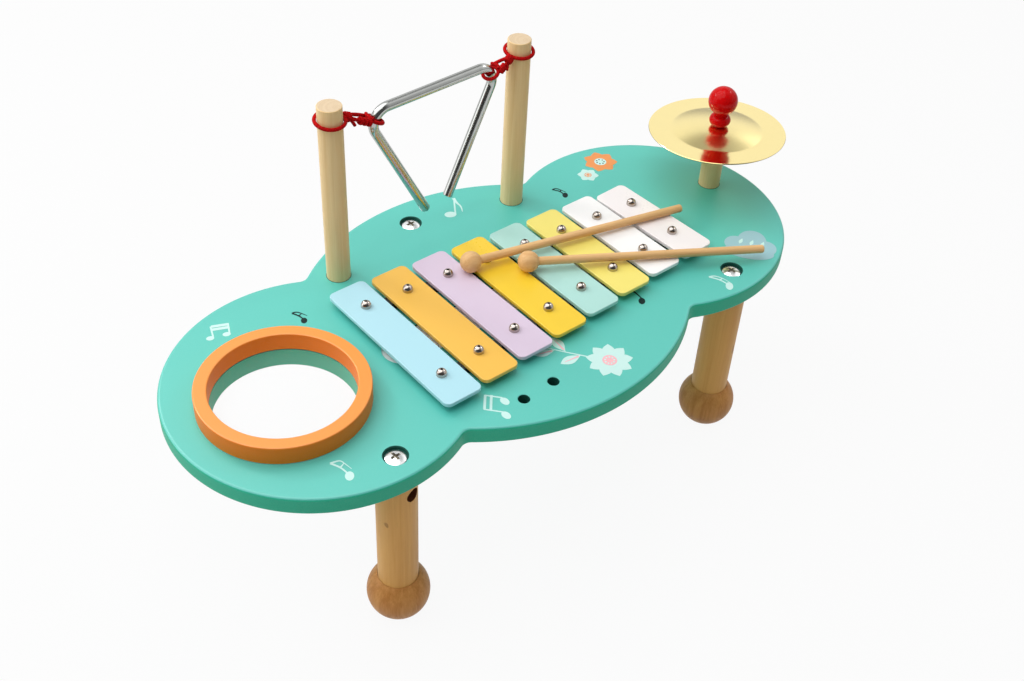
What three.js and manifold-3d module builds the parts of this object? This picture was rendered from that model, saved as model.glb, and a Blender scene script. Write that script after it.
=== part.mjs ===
// Musical activity table: a three-lobed board on three ball-footed legs that carries a drum,
// an eight-bar metallophone with two mallets, a triangle hung between two posts, and a cymbal.
// Millimetres, +Z up, floor at z = 0. The board is centred on x = 0, y = 0 inside the group "toy".
import * as THREE from 'three';
import { mergeVertices } from 'three/addons/utils/BufferGeometryUtils.js';
import Module from 'manifold-3d';

const wasm = await Module();
wasm.setup();

// Fits
const gap = 0.3;
const big = 60;

// Board
const boardTop = 168;
const boardThickness = 15;
const boardUnder = boardTop - boardThickness;
const sideLobeX = 165;
const sideLobeRadius = 115;
const middleArcRadius = 179;
const middleArcOffset = 37;
const notchRadius = 8;
const boardRound = 2.4;

// Drum
const drumX = -196.5;
const drumY = -2;
const drumInnerRadius = 52.5;
const drumOuterRadius = 62.6;
const drumHeight = 15;
const drumEdgeRound = 1.2;
const filmRadius = 56.6;
const filmThickness = 0.5;
const rebateRadius = 57.2;
const rebateDepth = 0.8;

// Metallophone
const barCount = 8;
const firstBarX = -98.3;
const barPitch = 36.6;
const barWidth = 32.6;
const firstBarLength = 151;
const barLengthStep = 6.5;
const barThickness = 3.4;
const barCorner = 5;
const barEdge = 0.6;
const rowY = -9;
const screwInset = 28.3;
const feltThickness = 6;
const feltWidth = 9;
const feltOverhang = 7;
const slotWidth = 32;
const slotDepth = 6;
const lastBarTurn = THREE.MathUtils.degToRad(2.1);
const lastBarShift = [-0.5, -2];
const barScrewHead = 4.8;
const barScrewDome = 3;
const barScrewShank = 1.7;
const barScrewBite = 9;
const barColours = [0xb9e6f0, 0xfac35f, 0xdecde1, 0xfdd750, 0xb9e4dc, 0xf5eb7d, 0xfbfbf9, 0xfaf0f0];

// Mallets
const malletHeadRadius = 8.6;
const malletStickRadius = 3.4;
const malletFlat = 7.6;
const malletSink = 9;
const malletReach = 197;
const malletHoles = [[-60.4, -104], [-31.4, -102.8]];
const malletHoleRadius = 4.5;
const malletHoleDepth = 12;

// Triangle and its posts
const postSpots = [[-87.5, 92], [88.3, 90.6]];
const postRadius = 9.5;
const postHeights = [154.5, 153];
const postRound = 0.8;
const dowelDepth = 10;
const rodRadius = 4;
const rodBend = 13;
const triangleWidth = 128.5;
const triangleDrop = 129.5;
const triangleLegs = [120.8, 118];
const triangleX = 5.6;
const triangleY = 91.5;
const triangleZ = boardTop + 137.5;
const triangleLean = THREE.MathUtils.degToRad(-1.3);
const cordRadius = 1.3;
const rodLoopAngle = THREE.MathUtils.degToRad(27);
const rodLoopReach = 7.1;
const postLoops = [
  { height: 142.2, pitch: THREE.MathUtils.degToRad(7), knot: [-74, 90.2, 141.2] },
  { height: 143.8, pitch: THREE.MathUtils.degToRad(7), knot: [75.2, 87, 140.8] },
];
const knotRadius = 3.6;

// Cymbal
const cymbalX = 246;
const cymbalY = 8.2;
const cymbalPinY = 7;
const cymbalPostRadius = 9.2;
const cymbalPostHeight = 54;
const cymbalRimHeight = 54.4;
const cymbalRadius = 58.5;
const cymbalDomeRadius = 39;
const cymbalDomeRise = 5;
const cymbalSheet = 1;
const cymbalHole = 3.6;
const cymbalLean = [0.029, 0.061];
const washerRadius = 7;
const washerThickness = 3.4;
const pinRadius = 2;
const pinDepth = 22;
const knobBase = 60.2;
const knobCollarRadius = 9.1;
const knobCollarRound = 4.8;
const knobNeckRadius = 6.8;
const knobBallHeight = 83.2;
const knobBallRadius = 12.4;

// Legs
const legSpots = [[-165.9, -93.6], [171.5, -90.3], [-1, 114]];
const legNames = ['front_left', 'front_right', 'back'];
const nutTurns = [15, 110, 180].map((degrees) => THREE.MathUtils.degToRad(degrees));
const legRadius = 15.2;
const legFoot = 30;
const footRadius = 24;
const footCentre = 23.7;
const boltHeadRadius = 7.6;
const boltDome = 2.4;
const boltRadius = 3;
const counterboreRadius = 8.8;
const counterboreDepth = 2.7;
const nutRadius = 5;
const nutLength = 14;
const nutHoleRadius = 5.6;
const nutDrop = 15;
const nutHoleDepth = legRadius + 1 + nutLength / 2 + gap;

function paint(color, roughness, metalness = 0) {
  return new THREE.MeshStandardMaterial({ color, roughness, metalness });
}

const mint = paint(0x82d7cb, 0.55);
const orange = paint(0xfda55a, 0.5);
const pine = paint(0xd8b684, 0.6);
const chrome = paint(0xd9dcdf, 0.12, 1);
const zinc = paint(0xc9ccce, 0.3, 1);
const gold = paint(0xf7dc98, 0.18, 1);
const gloss = paint(0xc8000c, 0.15);
const cordRed = paint(0xc3121a, 0.8);
const felt = paint(0x2b302e, 0.95);
const film = paint(0xf4f8f8, 0.1);
film.transparent = true;
film.opacity = 0.35;

const toy = new THREE.Group();

// Solids

// A closed three.js geometry as a solid, with shared corners merged and its faces outwards.
function solid(geometry) {
  const bare = geometry.clone();
  bare.deleteAttribute('normal');
  bare.deleteAttribute('uv');
  const merged = mergeVertices(bare, 1e-4);
  const position = merged.attributes.position.array;
  const index = merged.index.array;
  const kept = [];
  for (let i = 0; i < index.length; i += 3) {
    const [a, b, c] = [index[i], index[i + 1], index[i + 2]];
    if (a !== b && b !== c && c !== a) kept.push(a, b, c);
  }
  if (volume(position, kept) < 0) kept.reverse();
  const mesh = { numProp: 3, vertProperties: new Float32Array(position), triVerts: new Uint32Array(kept) };
  return new wasm.Manifold(new wasm.Mesh(mesh));
}

function volume(position, index) {
  const corner = (i) => new THREE.Vector3().fromArray(position, 3 * index[i]);
  let sum = 0;
  for (let i = 0; i < index.length; i += 3) sum += corner(i).dot(corner(i + 1).cross(corner(i + 2)));
  return sum;
}

function cut(body, ...tools) {
  return tools.reduce((whole, tool) => whole.subtract(tool), body);
}

// Adds a solid to a group as a named mesh.
function add(parent, name, body, material) {
  const { vertProperties, triVerts } = body.getMesh();
  const geometry = new THREE.BufferGeometry();
  geometry.setAttribute('position', new THREE.BufferAttribute(vertProperties, 3));
  geometry.setIndex(new THREE.BufferAttribute(triVerts, 1));
  geometry.computeVertexNormals();
  const mesh = new THREE.Mesh(geometry, material);
  mesh.name = name;
  parent.add(mesh);
  return mesh;
}

// A solid turned about +Z from a profile of [radius, height] corners.
function turned(profile, segments = 28) {
  const points = profile.map(([r, z]) => new THREE.Vector2(r, z));
  return solid(new THREE.LatheGeometry(points, segments).rotateX(Math.PI / 2));
}

// A straight round solid between two heights on the vertical line through x, y.
function rod(x, y, radius, low, high, segments = 24) {
  const geometry = new THREE.CylinderGeometry(radius, radius, high - low, segments).rotateX(Math.PI / 2);
  return solid(geometry.translate(x, y, (low + high) / 2));
}

// A flat plate cut from a shape between two heights, its edges rounded over.
function plate(shape, low, high, round, bevelSegments) {
  const geometry = new THREE.ExtrudeGeometry(shape, {
    depth: high - low - 2 * round,
    bevelThickness: round,
    bevelSize: round,
    bevelOffset: -round,
    bevelSegments,
  });
  return solid(geometry.translate(0, 0, low + round));
}

// Corners of a profile's rounded corner, from one angle to another in degrees.
function arc(cx, cz, radius, from, to, steps) {
  return Array.from({ length: steps + 1 }, (_, i) => {
    const angle = THREE.MathUtils.degToRad(from + ((to - from) * i) / steps);
    return [cx + radius * Math.cos(angle), cz + radius * Math.sin(angle)];
  });
}

// Board

// Centre of the fillet between a side lobe and the middle lobe, for x and y signs.
function filletCentre(sx, sy) {
  const a = sideLobeRadius + notchRadius;
  const b = middleArcRadius + notchRadius;
  const side = new THREE.Vector2(sideLobeX, 0);
  const middle = new THREE.Vector2(0, middleArcOffset);
  const line = middle.clone().sub(side);
  const span = line.length();
  const along = (a * a - b * b + span * span) / (2 * span);
  const across = Math.sqrt(a * a - along * along);
  const unit = line.divideScalar(span);
  const point = side.add(unit.clone().multiplyScalar(along));
  return new THREE.Vector2(sx * (point.x - unit.y * across), -sy * (point.y + unit.x * across));
}

// Points of an arc about a centre that starts over one point and ends over another.
function sweep(centre, radius, from, to, turnsLeft, step) {
  const start = Math.atan2(from.y - centre.y, from.x - centre.x);
  const end = Math.atan2(to.y - centre.y, to.x - centre.x);
  const full = 2 * Math.PI;
  const angle = turnsLeft ? (end - start + full) % full : -((start - end + full) % full);
  const count = Math.max(2, Math.round(Math.abs(angle) / THREE.MathUtils.degToRad(step)));
  return Array.from({ length: count }, (_, i) => {
    const at = start + (angle * i) / count;
    return new THREE.Vector2(centre.x + radius * Math.cos(at), centre.y + radius * Math.sin(at));
  });
}

function boardOutline() {
  const lobe = (side) => new THREE.Vector2(side * sideLobeX, 0);
  const middle = (side) => new THREE.Vector2(0, -side * middleArcOffset);
  const [frontRight, backRight] = [filletCentre(1, -1), filletCentre(1, 1)];
  const [backLeft, frontLeft] = [filletCentre(-1, 1), filletCentre(-1, -1)];
  return new THREE.Shape([
    ...sweep(lobe(1), sideLobeRadius, frontRight, backRight, true, 8),
    ...sweep(backRight, notchRadius, lobe(1), middle(1), false, 20),
    ...sweep(middle(1), middleArcRadius, backRight, backLeft, true, 6),
    ...sweep(backLeft, notchRadius, middle(1), lobe(-1), false, 20),
    ...sweep(lobe(-1), sideLobeRadius, backLeft, frontLeft, true, 8),
    ...sweep(frontLeft, notchRadius, lobe(-1), middle(-1), false, 20),
    ...sweep(middle(-1), middleArcRadius, frontLeft, frontRight, true, 6),
    ...sweep(frontRight, notchRadius, middle(-1), lobe(1), false, 20),
  ]);
}

function slotOutline() {
  const radius = slotWidth / 2;
  const left = new THREE.Vector2(firstBarX - barWidth / 2 + radius, rowY);
  const right = new THREE.Vector2(firstBarX + (barCount - 1) * barPitch + barWidth / 2 - radius, rowY);
  const over = (end, side) => new THREE.Vector2(end.x, end.y + side);
  return new THREE.Shape([
    ...sweep(right, radius, over(right, -1), over(right, 1), true, 18),
    over(right, radius),
    ...sweep(left, radius, over(left, 1), over(left, -1), true, 18),
    over(left, -radius),
  ]);
}

function makeBoard() {
  const board = plate(boardOutline(), boardUnder, boardTop, boardRound, 2);
  const slot = new THREE.ExtrudeGeometry(slotOutline(), { depth: slotDepth + 1, bevelEnabled: false });
  const tools = [
    rod(drumX, drumY, drumInnerRadius, boardUnder - 1, boardTop + 1, 40),
    solid(slot.translate(0, 0, boardTop - slotDepth)),
  ];
  for (const [x, y] of malletHoles) {
    tools.push(rod(x, y, malletHoleRadius, boardTop - malletHoleDepth, boardTop + 1));
  }
  for (const [x, y] of legSpots) {
    tools.push(rod(x, y, counterboreRadius, boardTop - counterboreDepth, boardTop + 1));
    tools.push(rod(x, y, boltRadius + gap, boardUnder - 1, boardTop, 12));
  }
  for (const [x, y] of postSpots) {
    tools.push(rod(x, y, postRadius + gap, boardTop - dowelDepth, boardTop + 1, 28));
  }
  tools.push(rod(cymbalX, cymbalPinY, cymbalPostRadius + gap, boardTop - dowelDepth, boardTop + 1, 28));
  for (const [x, y] of barScrewSpots()) {
    tools.push(rod(x, y, barScrewShank + gap, boardTop - barScrewBite - gap, boardTop + 1, 8));
  }
  add(toy, 'table_top', cut(board, ...tools), mint);
}

// Drum

function makeDrum() {
  const low = boardTop;
  const high = boardTop + drumHeight;
  const round = drumEdgeRound;
  const profile = [
    [rebateRadius, low],
    ...arc(drumOuterRadius - 0.5, low + 0.5, 0.5, -90, 0, 1),
    ...arc(drumOuterRadius - round, high - round, round, 0, 90, 2),
    ...arc(drumInnerRadius + round, high - round, round, 90, 180, 2),
    [drumInnerRadius, low + rebateDepth],
    [rebateRadius, low + rebateDepth],
    [rebateRadius, low],
  ];
  const ring = add(toy, 'drum_ring', turned(profile, 40), orange);
  ring.position.set(drumX, drumY, 0);
  add(toy, 'drum_film', rod(drumX, drumY, filmRadius, low, low + filmThickness, 40), film);
}

// Metallophone

function bar(i) {
  const length = firstBarLength - i * barLengthStep;
  return { x: firstBarX + i * barPitch, length, reach: length / 2 - screwInset };
}

// The last bar sits a little askew and off its row on its two screws.
function askew(i) {
  return i === barCount - 1 ? { turn: lastBarTurn, shift: lastBarShift } : { turn: 0, shift: [0, 0] };
}

function barScrewSpots() {
  const spots = [];
  for (let i = 0; i < barCount; i += 1) {
    const { x, reach } = bar(i);
    spots.push([x, rowY + reach], [x, rowY - reach]);
  }
  return spots;
}

function roundedBar(width, length, corner, steps) {
  const [x, y] = [width / 2 - corner, length / 2 - corner];
  const corners = [
    ...arc(x, -y, corner, -90, 0, steps),
    ...arc(x, y, corner, 0, 90, steps),
    ...arc(-x, y, corner, 90, 180, steps),
    ...arc(-x, -y, corner, 180, 270, steps),
  ];
  return new THREE.Shape(corners.map(([a, b]) => new THREE.Vector2(a, b)));
}

function makeBars() {
  const low = boardTop + feltThickness;
  const high = low + barThickness;
  for (let i = 0; i < barCount; i += 1) {
    const { x, length, reach } = bar(i);
    const { turn, shift } = askew(i);
    const flat = plate(roundedBar(barWidth, length, barCorner, 3), low, high, barEdge, 1);
    const blank = flat.rotate(0, 0, THREE.MathUtils.radToDeg(turn)).translate(...shift, 0);
    const holes = [-reach, reach].map((y) => rod(0, y, barScrewShank + gap, low - 1, high + 1, 8));
    const mesh = add(toy, `bar_${i + 1}`, cut(blank, ...holes), paint(barColours[i], 0.4));
    mesh.position.set(x, rowY, 0);
  }
}

// One felt strip lies under each row of screws, from the first bar to the last.
function makeFelts() {
  const [first, last] = [bar(0), bar(barCount - 1)];
  for (const [name, side] of [['felt_strip_back', 1], ['felt_strip_front', -1]]) {
    const from = new THREE.Vector2(first.x, rowY + side * first.reach);
    const to = new THREE.Vector2(last.x, rowY + side * last.reach);
    const length = from.distanceTo(to) + 2 * feltOverhang;
    const shape = roundedBar(length, feltWidth, 1.5, 1);
    const flat = new THREE.ExtrudeGeometry(shape, { depth: feltThickness, bevelEnabled: false });
    flat.rotateZ(Math.atan2(to.y - from.y, to.x - from.x));
    flat.translate((from.x + to.x) / 2, (from.y + to.y) / 2, boardTop);
    const spots = barScrewSpots().filter(([, y]) => (y > rowY) === (side > 0));
    const holes = spots.map(([x, y]) => rod(x, y, barScrewShank + gap, boardTop - 1, boardTop + big, 8));
    add(toy, name, cut(solid(flat), ...holes), felt);
  }
}

// A dome-headed screw with its seat at height 0.
function domeScrew(headRadius, dome, shankRadius, shank, segments) {
  const rim = 0.5;
  const ball = (headRadius ** 2 + (dome - rim) ** 2) / (2 * (dome - rim));
  const start = THREE.MathUtils.radToDeg(Math.asin(headRadius / ball));
  const crown = arc(0, dome - ball, ball, 90 - start, 90, 2).slice(0, -1);
  return turned([
    [0, -shank],
    [shankRadius, -shank],
    [shankRadius, 0],
    [headRadius, 0],
    ...crown,
    [0, dome],
  ], segments);
}

function makeBarScrews() {
  const seat = boardTop + feltThickness + barThickness;
  const shank = barThickness + feltThickness + barScrewBite;
  const screw = domeScrew(barScrewHead, barScrewDome, barScrewShank, shank, 10);
  barScrewSpots().forEach(([x, y], i) => {
    const end = i % 2 === 0 ? 'back' : 'front';
    const mesh = add(toy, `bar_screw_${Math.floor(i / 2) + 1}_${end}`, screw, chrome);
    mesh.position.set(x, y, seat);
  });
}

// Mallets

// A ball with a flat where the stick enters, the stick along +X from the ball's centre.
function makeMallet(name, head, end) {
  const mallet = new THREE.Group();
  mallet.position.copy(head);
  const direction = end.clone().sub(head).normalize();
  mallet.quaternion.setFromUnitVectors(new THREE.Vector3(1, 0, 0), direction);
  const along = (geometry) => geometry.rotateY(Math.PI / 2);
  const lathe = (profile, segments) => {
    const points = profile.map(([r, x]) => new THREE.Vector2(r, x));
    return solid(along(new THREE.LatheGeometry(points, segments).rotateX(Math.PI / 2)));
  };
  const start = malletFlat - malletSink;
  const flatAngle = THREE.MathUtils.radToDeg(Math.asin(malletFlat / malletHeadRadius));
  const ball = lathe([
    ...arc(0, 0, malletHeadRadius, -90, flatAngle, 8).map(([r, x]) => [Math.max(r, 0), x]),
    [malletStickRadius + gap, malletFlat],
    [malletStickRadius + gap, start - gap],
    [0, start - gap],
  ], 14);
  const stick = lathe([
    [0, start],
    [malletStickRadius, start],
    ...arc(malletStickRadius - 1.2, malletReach - 1.2, 1.2, 0, 90, 2),
    [0, malletReach],
  ], 14);
  add(mallet, `${name}_head`, ball, pine);
  add(mallet, `${name}_stick`, stick, pine);
  toy.add(mallet);
}

function makeMallets() {
  const barTop = boardTop + feltThickness + barThickness;
  const headHeight = barTop + malletHeadRadius + gap;
  // The stick lies on the right edge of one bar, so it slopes from the ball down to there.
  const lie = (name, x, y, endX, endY, barIndex) => {
    const share = (bar(barIndex).x + barWidth / 2 - x) / (endX - x);
    const drop = (headHeight - barTop - malletStickRadius - gap) / share;
    makeMallet(name, new THREE.Vector3(x, y, headHeight), new THREE.Vector3(endX, endY, headHeight - drop));
  };
  lie('mallet_back', -7.9, 24.9, 184.6, -16.9, 7);
  lie('mallet_front', 29, -1.5, 201.9, -94.9, 6);
}

// Triangle

// The centre line of the bent rod: straight, bend, straight, bend, straight, in the x-z plane.
// Each straight takes one step and each bend takes bendSteps.
class BentRod extends THREE.Curve {
  constructor(bendSteps) {
    super();
    const half = triangleWidth / 2;
    const apex = new THREE.Vector2(0, -triangleDrop);
    const corner = new THREE.Vector2(half, 0);
    const down = apex.clone().sub(corner).normalize();
    const turn = Math.PI - Math.acos(-down.x);
    this.centre = new THREE.Vector2(half - rodBend * Math.tan(turn / 2), -rodBend);
    const [left, right] = triangleLegs.map((leg) => this.half(corner, down, turn, bendSteps, leg));
    const mirrored = left.map((p) => new THREE.Vector2(-p.x, p.y)).reverse();
    this.points = [...right, ...mirrored].map((p) => new THREE.Vector3(p.x, 0, p.y));
  }

  // From a leg's end up round the right corner to the top side.
  half(corner, down, turn, bendSteps, leg) {
    const { centre } = this;
    const points = [corner.clone().addScaledVector(down, leg)];
    for (let i = 0; i <= bendSteps; i += 1) {
      const angle = Math.PI / 2 - turn + (turn * i) / bendSteps;
      const step = new THREE.Vector2(Math.cos(angle), Math.sin(angle)).multiplyScalar(rodBend);
      points.push(step.add(centre));
    }
    return points;
  }

  get steps() {
    return this.points.length - 1;
  }

  getPoint(t) {
    const place = Math.min(t * this.steps, this.steps - 1e-9);
    const i = Math.floor(place);
    return this.points[i].clone().lerp(this.points[i + 1], place - i);
  }

  getPointAt(t) {
    return this.getPoint(t);
  }

  // At a joint between two steps the tangent halves the angle, so the section mitres there.
  getTangentAt(t) {
    const i = Math.round(t * this.steps);
    const before = this.points[Math.max(i - 1, 0)];
    const here = this.points[i];
    const after = this.points[Math.min(i + 1, this.steps)];
    const arriving = here.clone().sub(before).normalize();
    const leaving = after.clone().sub(here).normalize();
    return arriving.add(leaving).normalize();
  }
}

function circle(radius, segments) {
  const points = Array.from({ length: segments }, (_, i) => {
    const angle = (2 * Math.PI * i) / segments;
    return new THREE.Vector2(radius * Math.cos(angle), radius * Math.sin(angle));
  });
  return new THREE.Shape(points);
}

function makeTriangle() {
  const path = new BentRod(9);
  const settings = { steps: path.steps, extrudePath: path, bevelEnabled: false };
  const geometry = new THREE.ExtrudeGeometry(circle(rodRadius, 12), settings);
  const mesh = add(toy, 'triangle', solid(geometry), chrome);
  mesh.position.set(triangleX, triangleY, triangleZ);
  mesh.rotation.y = triangleLean;
}

function makePosts() {
  ['left_post', 'right_post'].forEach((name, i) => {
    const top = boardTop + postHeights[i];
    const post = turned([
      [0, boardTop - dowelDepth + gap],
      [postRadius, boardTop - dowelDepth + gap],
      ...arc(postRadius - postRound, top - postRound, postRound, 0, 90, 2),
      [0, top],
    ]);
    add(toy, name, post, pine).position.set(...postSpots[i], 0);
  });
}

// Cord

// An oval ring of cord round the origin, in the x-y plane.
function cordRing(reachX, reachY, segments) {
  const ring = new THREE.CatmullRomCurve3(Array.from({ length: segments }, (_, i) => {
    const angle = (2 * Math.PI * i) / segments;
    return new THREE.Vector3(reachX * Math.cos(angle), reachY * Math.sin(angle), 0);
  }), true);
  const settings = { steps: segments, extrudePath: ring, bevelEnabled: false };
  return new THREE.ExtrudeGeometry(circle(cordRadius, 5), settings);
}

// A run of cord along a few points.
function cordRun(points, steps) {
  const settings = { steps, extrudePath: new THREE.CatmullRomCurve3(points), bevelEnabled: false };
  return solid(new THREE.ExtrudeGeometry(circle(cordRadius, 5), settings));
}

// Where the cord holds the rod: on the bend, at an angle above the bend's outermost point.
function rodHold(side) {
  const { centre } = new BentRod(1);
  const hold = new THREE.Vector3(
    side * (centre.x + rodBend * Math.cos(rodLoopAngle)),
    0,
    centre.y + rodBend * Math.sin(rodLoopAngle),
  );
  hold.applyAxisAngle(new THREE.Vector3(0, 1, 0), triangleLean);
  return hold.add(new THREE.Vector3(triangleX, triangleY, triangleZ));
}

// A loop round the post, its front low, a knot beside it, two strands and a loop round the rod.
function makeTie(name, side, [postX, postY], { height, pitch, knot: [x, y, z] }) {
  const knot = new THREE.Vector3(x, y, boardTop + z);
  const hold = rodHold(side);
  const outward = new THREE.Vector3(side * Math.cos(rodLoopAngle), 0, Math.sin(rodLoopAngle));
  const reach = postRadius + gap + cordRadius;
  const grip = rodRadius + 2 * gap + cordRadius;
  const postLoop = cordRing(reach, reach / Math.cos(pitch), 20).rotateX(pitch);
  const rodLoop = cordRing(grip, rodLoopReach, 14).rotateY(-side * rodLoopAngle + triangleLean);
  const join = hold.clone().addScaledVector(outward, grip * 0.75);
  const front = join.clone().setY(triangleY - rodLoopReach * 0.7);
  const rear = join.clone().setY(triangleY + rodLoopReach * 0.66);
  const lift = new THREE.Vector3(0, 0, cordRadius);
  const ball = new THREE.SphereGeometry(knotRadius, 9, 7).scale(1, 0.9, 1.2);
  const tail = knot.clone().lerp(front, 0.12).sub(lift);
  const tailEnd = tail.clone().add(new THREE.Vector3(-side * 2.6, -2, -5.5));
  const parts = [
    solid(ball.translate(...knot.toArray())),
    solid(postLoop.translate(postX, postY, boardTop + height)),
    solid(rodLoop.translate(...hold.toArray())),
    cordRun([knot, knot.clone().lerp(front, 0.5).sub(lift), front], 6),
    cordRun([knot.clone().add(lift), knot.clone().lerp(rear, 0.5).add(lift), rear], 6),
    cordRun([tail, tailEnd], 1),
  ];
  add(toy, name, parts.reduce((whole, part) => whole.add(part)), cordRed);
}

function makeTies() {
  makeTie('left_cord_tie', -1, postSpots[0], postLoops[0]);
  makeTie('right_cord_tie', 1, postSpots[1], postLoops[1]);
}

// Cymbal

function makeCymbalStand() {
  const top = boardTop + cymbalPostHeight;
  const post = turned([
    [0, boardTop - dowelDepth + gap],
    [cymbalPostRadius, boardTop - dowelDepth + gap],
    ...arc(cymbalPostRadius - 0.8, top - 0.8, 0.8, 0, 90, 2),
    [pinRadius + gap, top],
    [pinRadius + gap, top - pinDepth - gap],
    [0, top - pinDepth - gap],
  ]);
  const washer = turned([
    [pinRadius + gap, top],
    [washerRadius, top],
    [washerRadius, top + washerThickness],
    [pinRadius + gap, top + washerThickness],
    [pinRadius + gap, top],
  ], 24);
  const pinTop = boardTop + knobBallHeight;
  const pin = rod(0, 0, pinRadius, top - pinDepth, pinTop, 12);
  for (const [name, body, material] of [
    ['cymbal_post', post, pine],
    ['cymbal_washer', washer, felt],
    ['cymbal_pin', pin, zinc],
    ['cymbal_knob', knob(pinTop), gloss],
  ]) {
    add(toy, name, body, material).position.set(cymbalX, cymbalPinY, 0);
  }
}

// A ball on a rounded collar, bored from below for the pin.
function knob(boreTop) {
  const base = boardTop + knobBase;
  const centre = boardTop + knobBallHeight;
  const side = knobCollarRound;
  const neck = knobNeckRadius;
  const neckHeight = centre - Math.sqrt(knobBallRadius ** 2 - neck ** 2);
  const start = THREE.MathUtils.radToDeg(Math.acos(neck / knobBallRadius));
  return turned([
    [pinRadius + gap, base],
    ...arc(knobCollarRadius - side, base + side, side, -90, 70, 4),
    [neck, neckHeight],
    ...arc(0, centre, knobBallRadius, -start, 90, 7).slice(1, -1),
    [0, centre + knobBallRadius],
    [0, boreTop + gap],
    [pinRadius + gap, boreTop + gap],
    [pinRadius + gap, base],
  ], 20);
}

// The spun sheet: a flat rim and a shallow dome with a hole in its middle.
function makeCymbal() {
  const ball = (cymbalDomeRadius ** 2 + cymbalDomeRise ** 2) / (2 * cymbalDomeRise);
  const dome = (r) => Math.sqrt(ball ** 2 - r ** 2) - ball + cymbalDomeRise;
  const radii = [cymbalHole, 16, 28, cymbalDomeRadius - 1];
  const upper = [...radii.map((r) => [r, dome(r)]), [cymbalDomeRadius + 1.5, 0], [cymbalRadius - 0.3, 0]];
  const lower = upper.map(([r, z]) => [r, z - cymbalSheet]).reverse();
  const edge = [cymbalRadius, -cymbalSheet / 2];
  const sheet = turned([...upper, edge, ...lower, upper[0]], 40);
  const cymbal = new THREE.Group();
  cymbal.position.set(cymbalX, cymbalY, boardTop + cymbalRimHeight);
  const up = new THREE.Vector3(cymbalLean[0], cymbalLean[1], 1).normalize();
  cymbal.quaternion.setFromUnitVectors(new THREE.Vector3(0, 0, 1), up);
  add(cymbal, 'cymbal', sheet, gold);
  toy.add(cymbal);
}

// Legs

function makeLeg(name, [x, y], turn) {
  const leg = new THREE.Group();
  leg.position.set(x, y, 0);
  leg.rotation.z = turn;
  const nutHeight = boardUnder - nutDrop;
  const shaft = rod(0, 0, legRadius, legFoot, boardUnder, 28);
  const crossHole = new THREE.CylinderGeometry(nutHoleRadius, nutHoleRadius, nutHoleDepth, 16);
  crossHole.translate(0, nutHoleDepth / 2 - legRadius - 1, nutHeight);
  const boltEnd = nutHeight - nutRadius - 4;
  const boltHole = rod(0, 0, boltRadius + gap, boltEnd - gap, boardUnder + 1, 12);
  add(leg, `${name}_leg`, cut(shaft, solid(crossHole), boltHole), pine);

  const bore = footCentre + Math.sqrt(footRadius ** 2 - (legRadius + gap) ** 2);
  const lip = THREE.MathUtils.radToDeg(Math.asin((bore - footCentre) / footRadius));
  const flat = THREE.MathUtils.radToDeg(Math.asin(-footCentre / footRadius));
  const foot = turned([
    [0, 0],
    ...arc(0, footCentre, footRadius, flat, lip, 8),
    [legRadius + gap, legFoot - gap],
    [0, legFoot - gap],
  ], 20);
  add(leg, `${name}_foot`, foot, pine);

  const seat = boardTop - counterboreDepth;
  const bolt = domeScrew(boltHeadRadius, boltDome, boltRadius, seat - boltEnd, 16);
  add(leg, `${name}_bolt`, bolt, zinc).position.z = seat;

  const nutBody = new THREE.CylinderGeometry(nutRadius, nutRadius, nutLength, 16);
  nutBody.translate(0, 0, nutHeight);
  const thread = rod(0, 0, boltRadius + gap, nutHeight - big, nutHeight + big, 12);
  add(leg, `${name}_barrel_nut`, cut(solid(nutBody), thread), zinc);
  toy.add(leg);
}

makeBoard();
makeDrum();
makeFelts();
makeBars();
makeBarScrews();
makeMallets();
makePosts();
makeTriangle();
makeTies();
makeCymbalStand();
makeCymbal();
legNames.forEach((name, i) => makeLeg(name, legSpots[i], nutTurns[i]));

// The origin is on the floor under the middle of the whole toy, cymbal included.
const group = new THREE.Group();
group.add(toy);
const extent = new THREE.Box3().setFromObject(group, true);
toy.position.x = -(extent.min.x + extent.max.x) / 2;
toy.position.y = -(extent.min.y + extent.max.y) / 2;

export default group;
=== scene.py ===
from math import acos, asin, atan2, cos, degrees, hypot, pi, radians, sin, sqrt, tan, tau
import bpy
import bmesh
from mathutils import Matrix, Vector


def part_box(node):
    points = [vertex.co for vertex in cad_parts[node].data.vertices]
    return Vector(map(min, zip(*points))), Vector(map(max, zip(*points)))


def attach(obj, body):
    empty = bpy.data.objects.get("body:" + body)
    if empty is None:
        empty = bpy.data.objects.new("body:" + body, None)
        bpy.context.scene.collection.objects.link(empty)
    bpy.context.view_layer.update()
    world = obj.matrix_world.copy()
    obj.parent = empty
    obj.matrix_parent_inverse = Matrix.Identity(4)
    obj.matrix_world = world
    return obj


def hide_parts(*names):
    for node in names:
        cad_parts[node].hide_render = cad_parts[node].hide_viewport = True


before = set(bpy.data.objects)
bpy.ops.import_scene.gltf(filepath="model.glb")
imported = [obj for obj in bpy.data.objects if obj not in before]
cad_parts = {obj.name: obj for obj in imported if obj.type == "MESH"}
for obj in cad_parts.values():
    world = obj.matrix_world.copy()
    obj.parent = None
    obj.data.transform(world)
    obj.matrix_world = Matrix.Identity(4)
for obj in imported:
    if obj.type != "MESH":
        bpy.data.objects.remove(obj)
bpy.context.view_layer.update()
scene = bpy.context.scene
print("frame loaded")

# Drawings below are in millimetres from the middle of the board, which is found from the drum's.
drumX = -196.5
ringLow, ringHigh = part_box("drum_ring")
boardMiddle = Vector(((ringLow.x + ringHigh.x) / 2 - drumX * 0.001, 0, 0))
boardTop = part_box("table_top")[1].z * 1000


def place(x, y, z):
    return boardMiddle + Vector((x, y, z)) * 0.001


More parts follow.
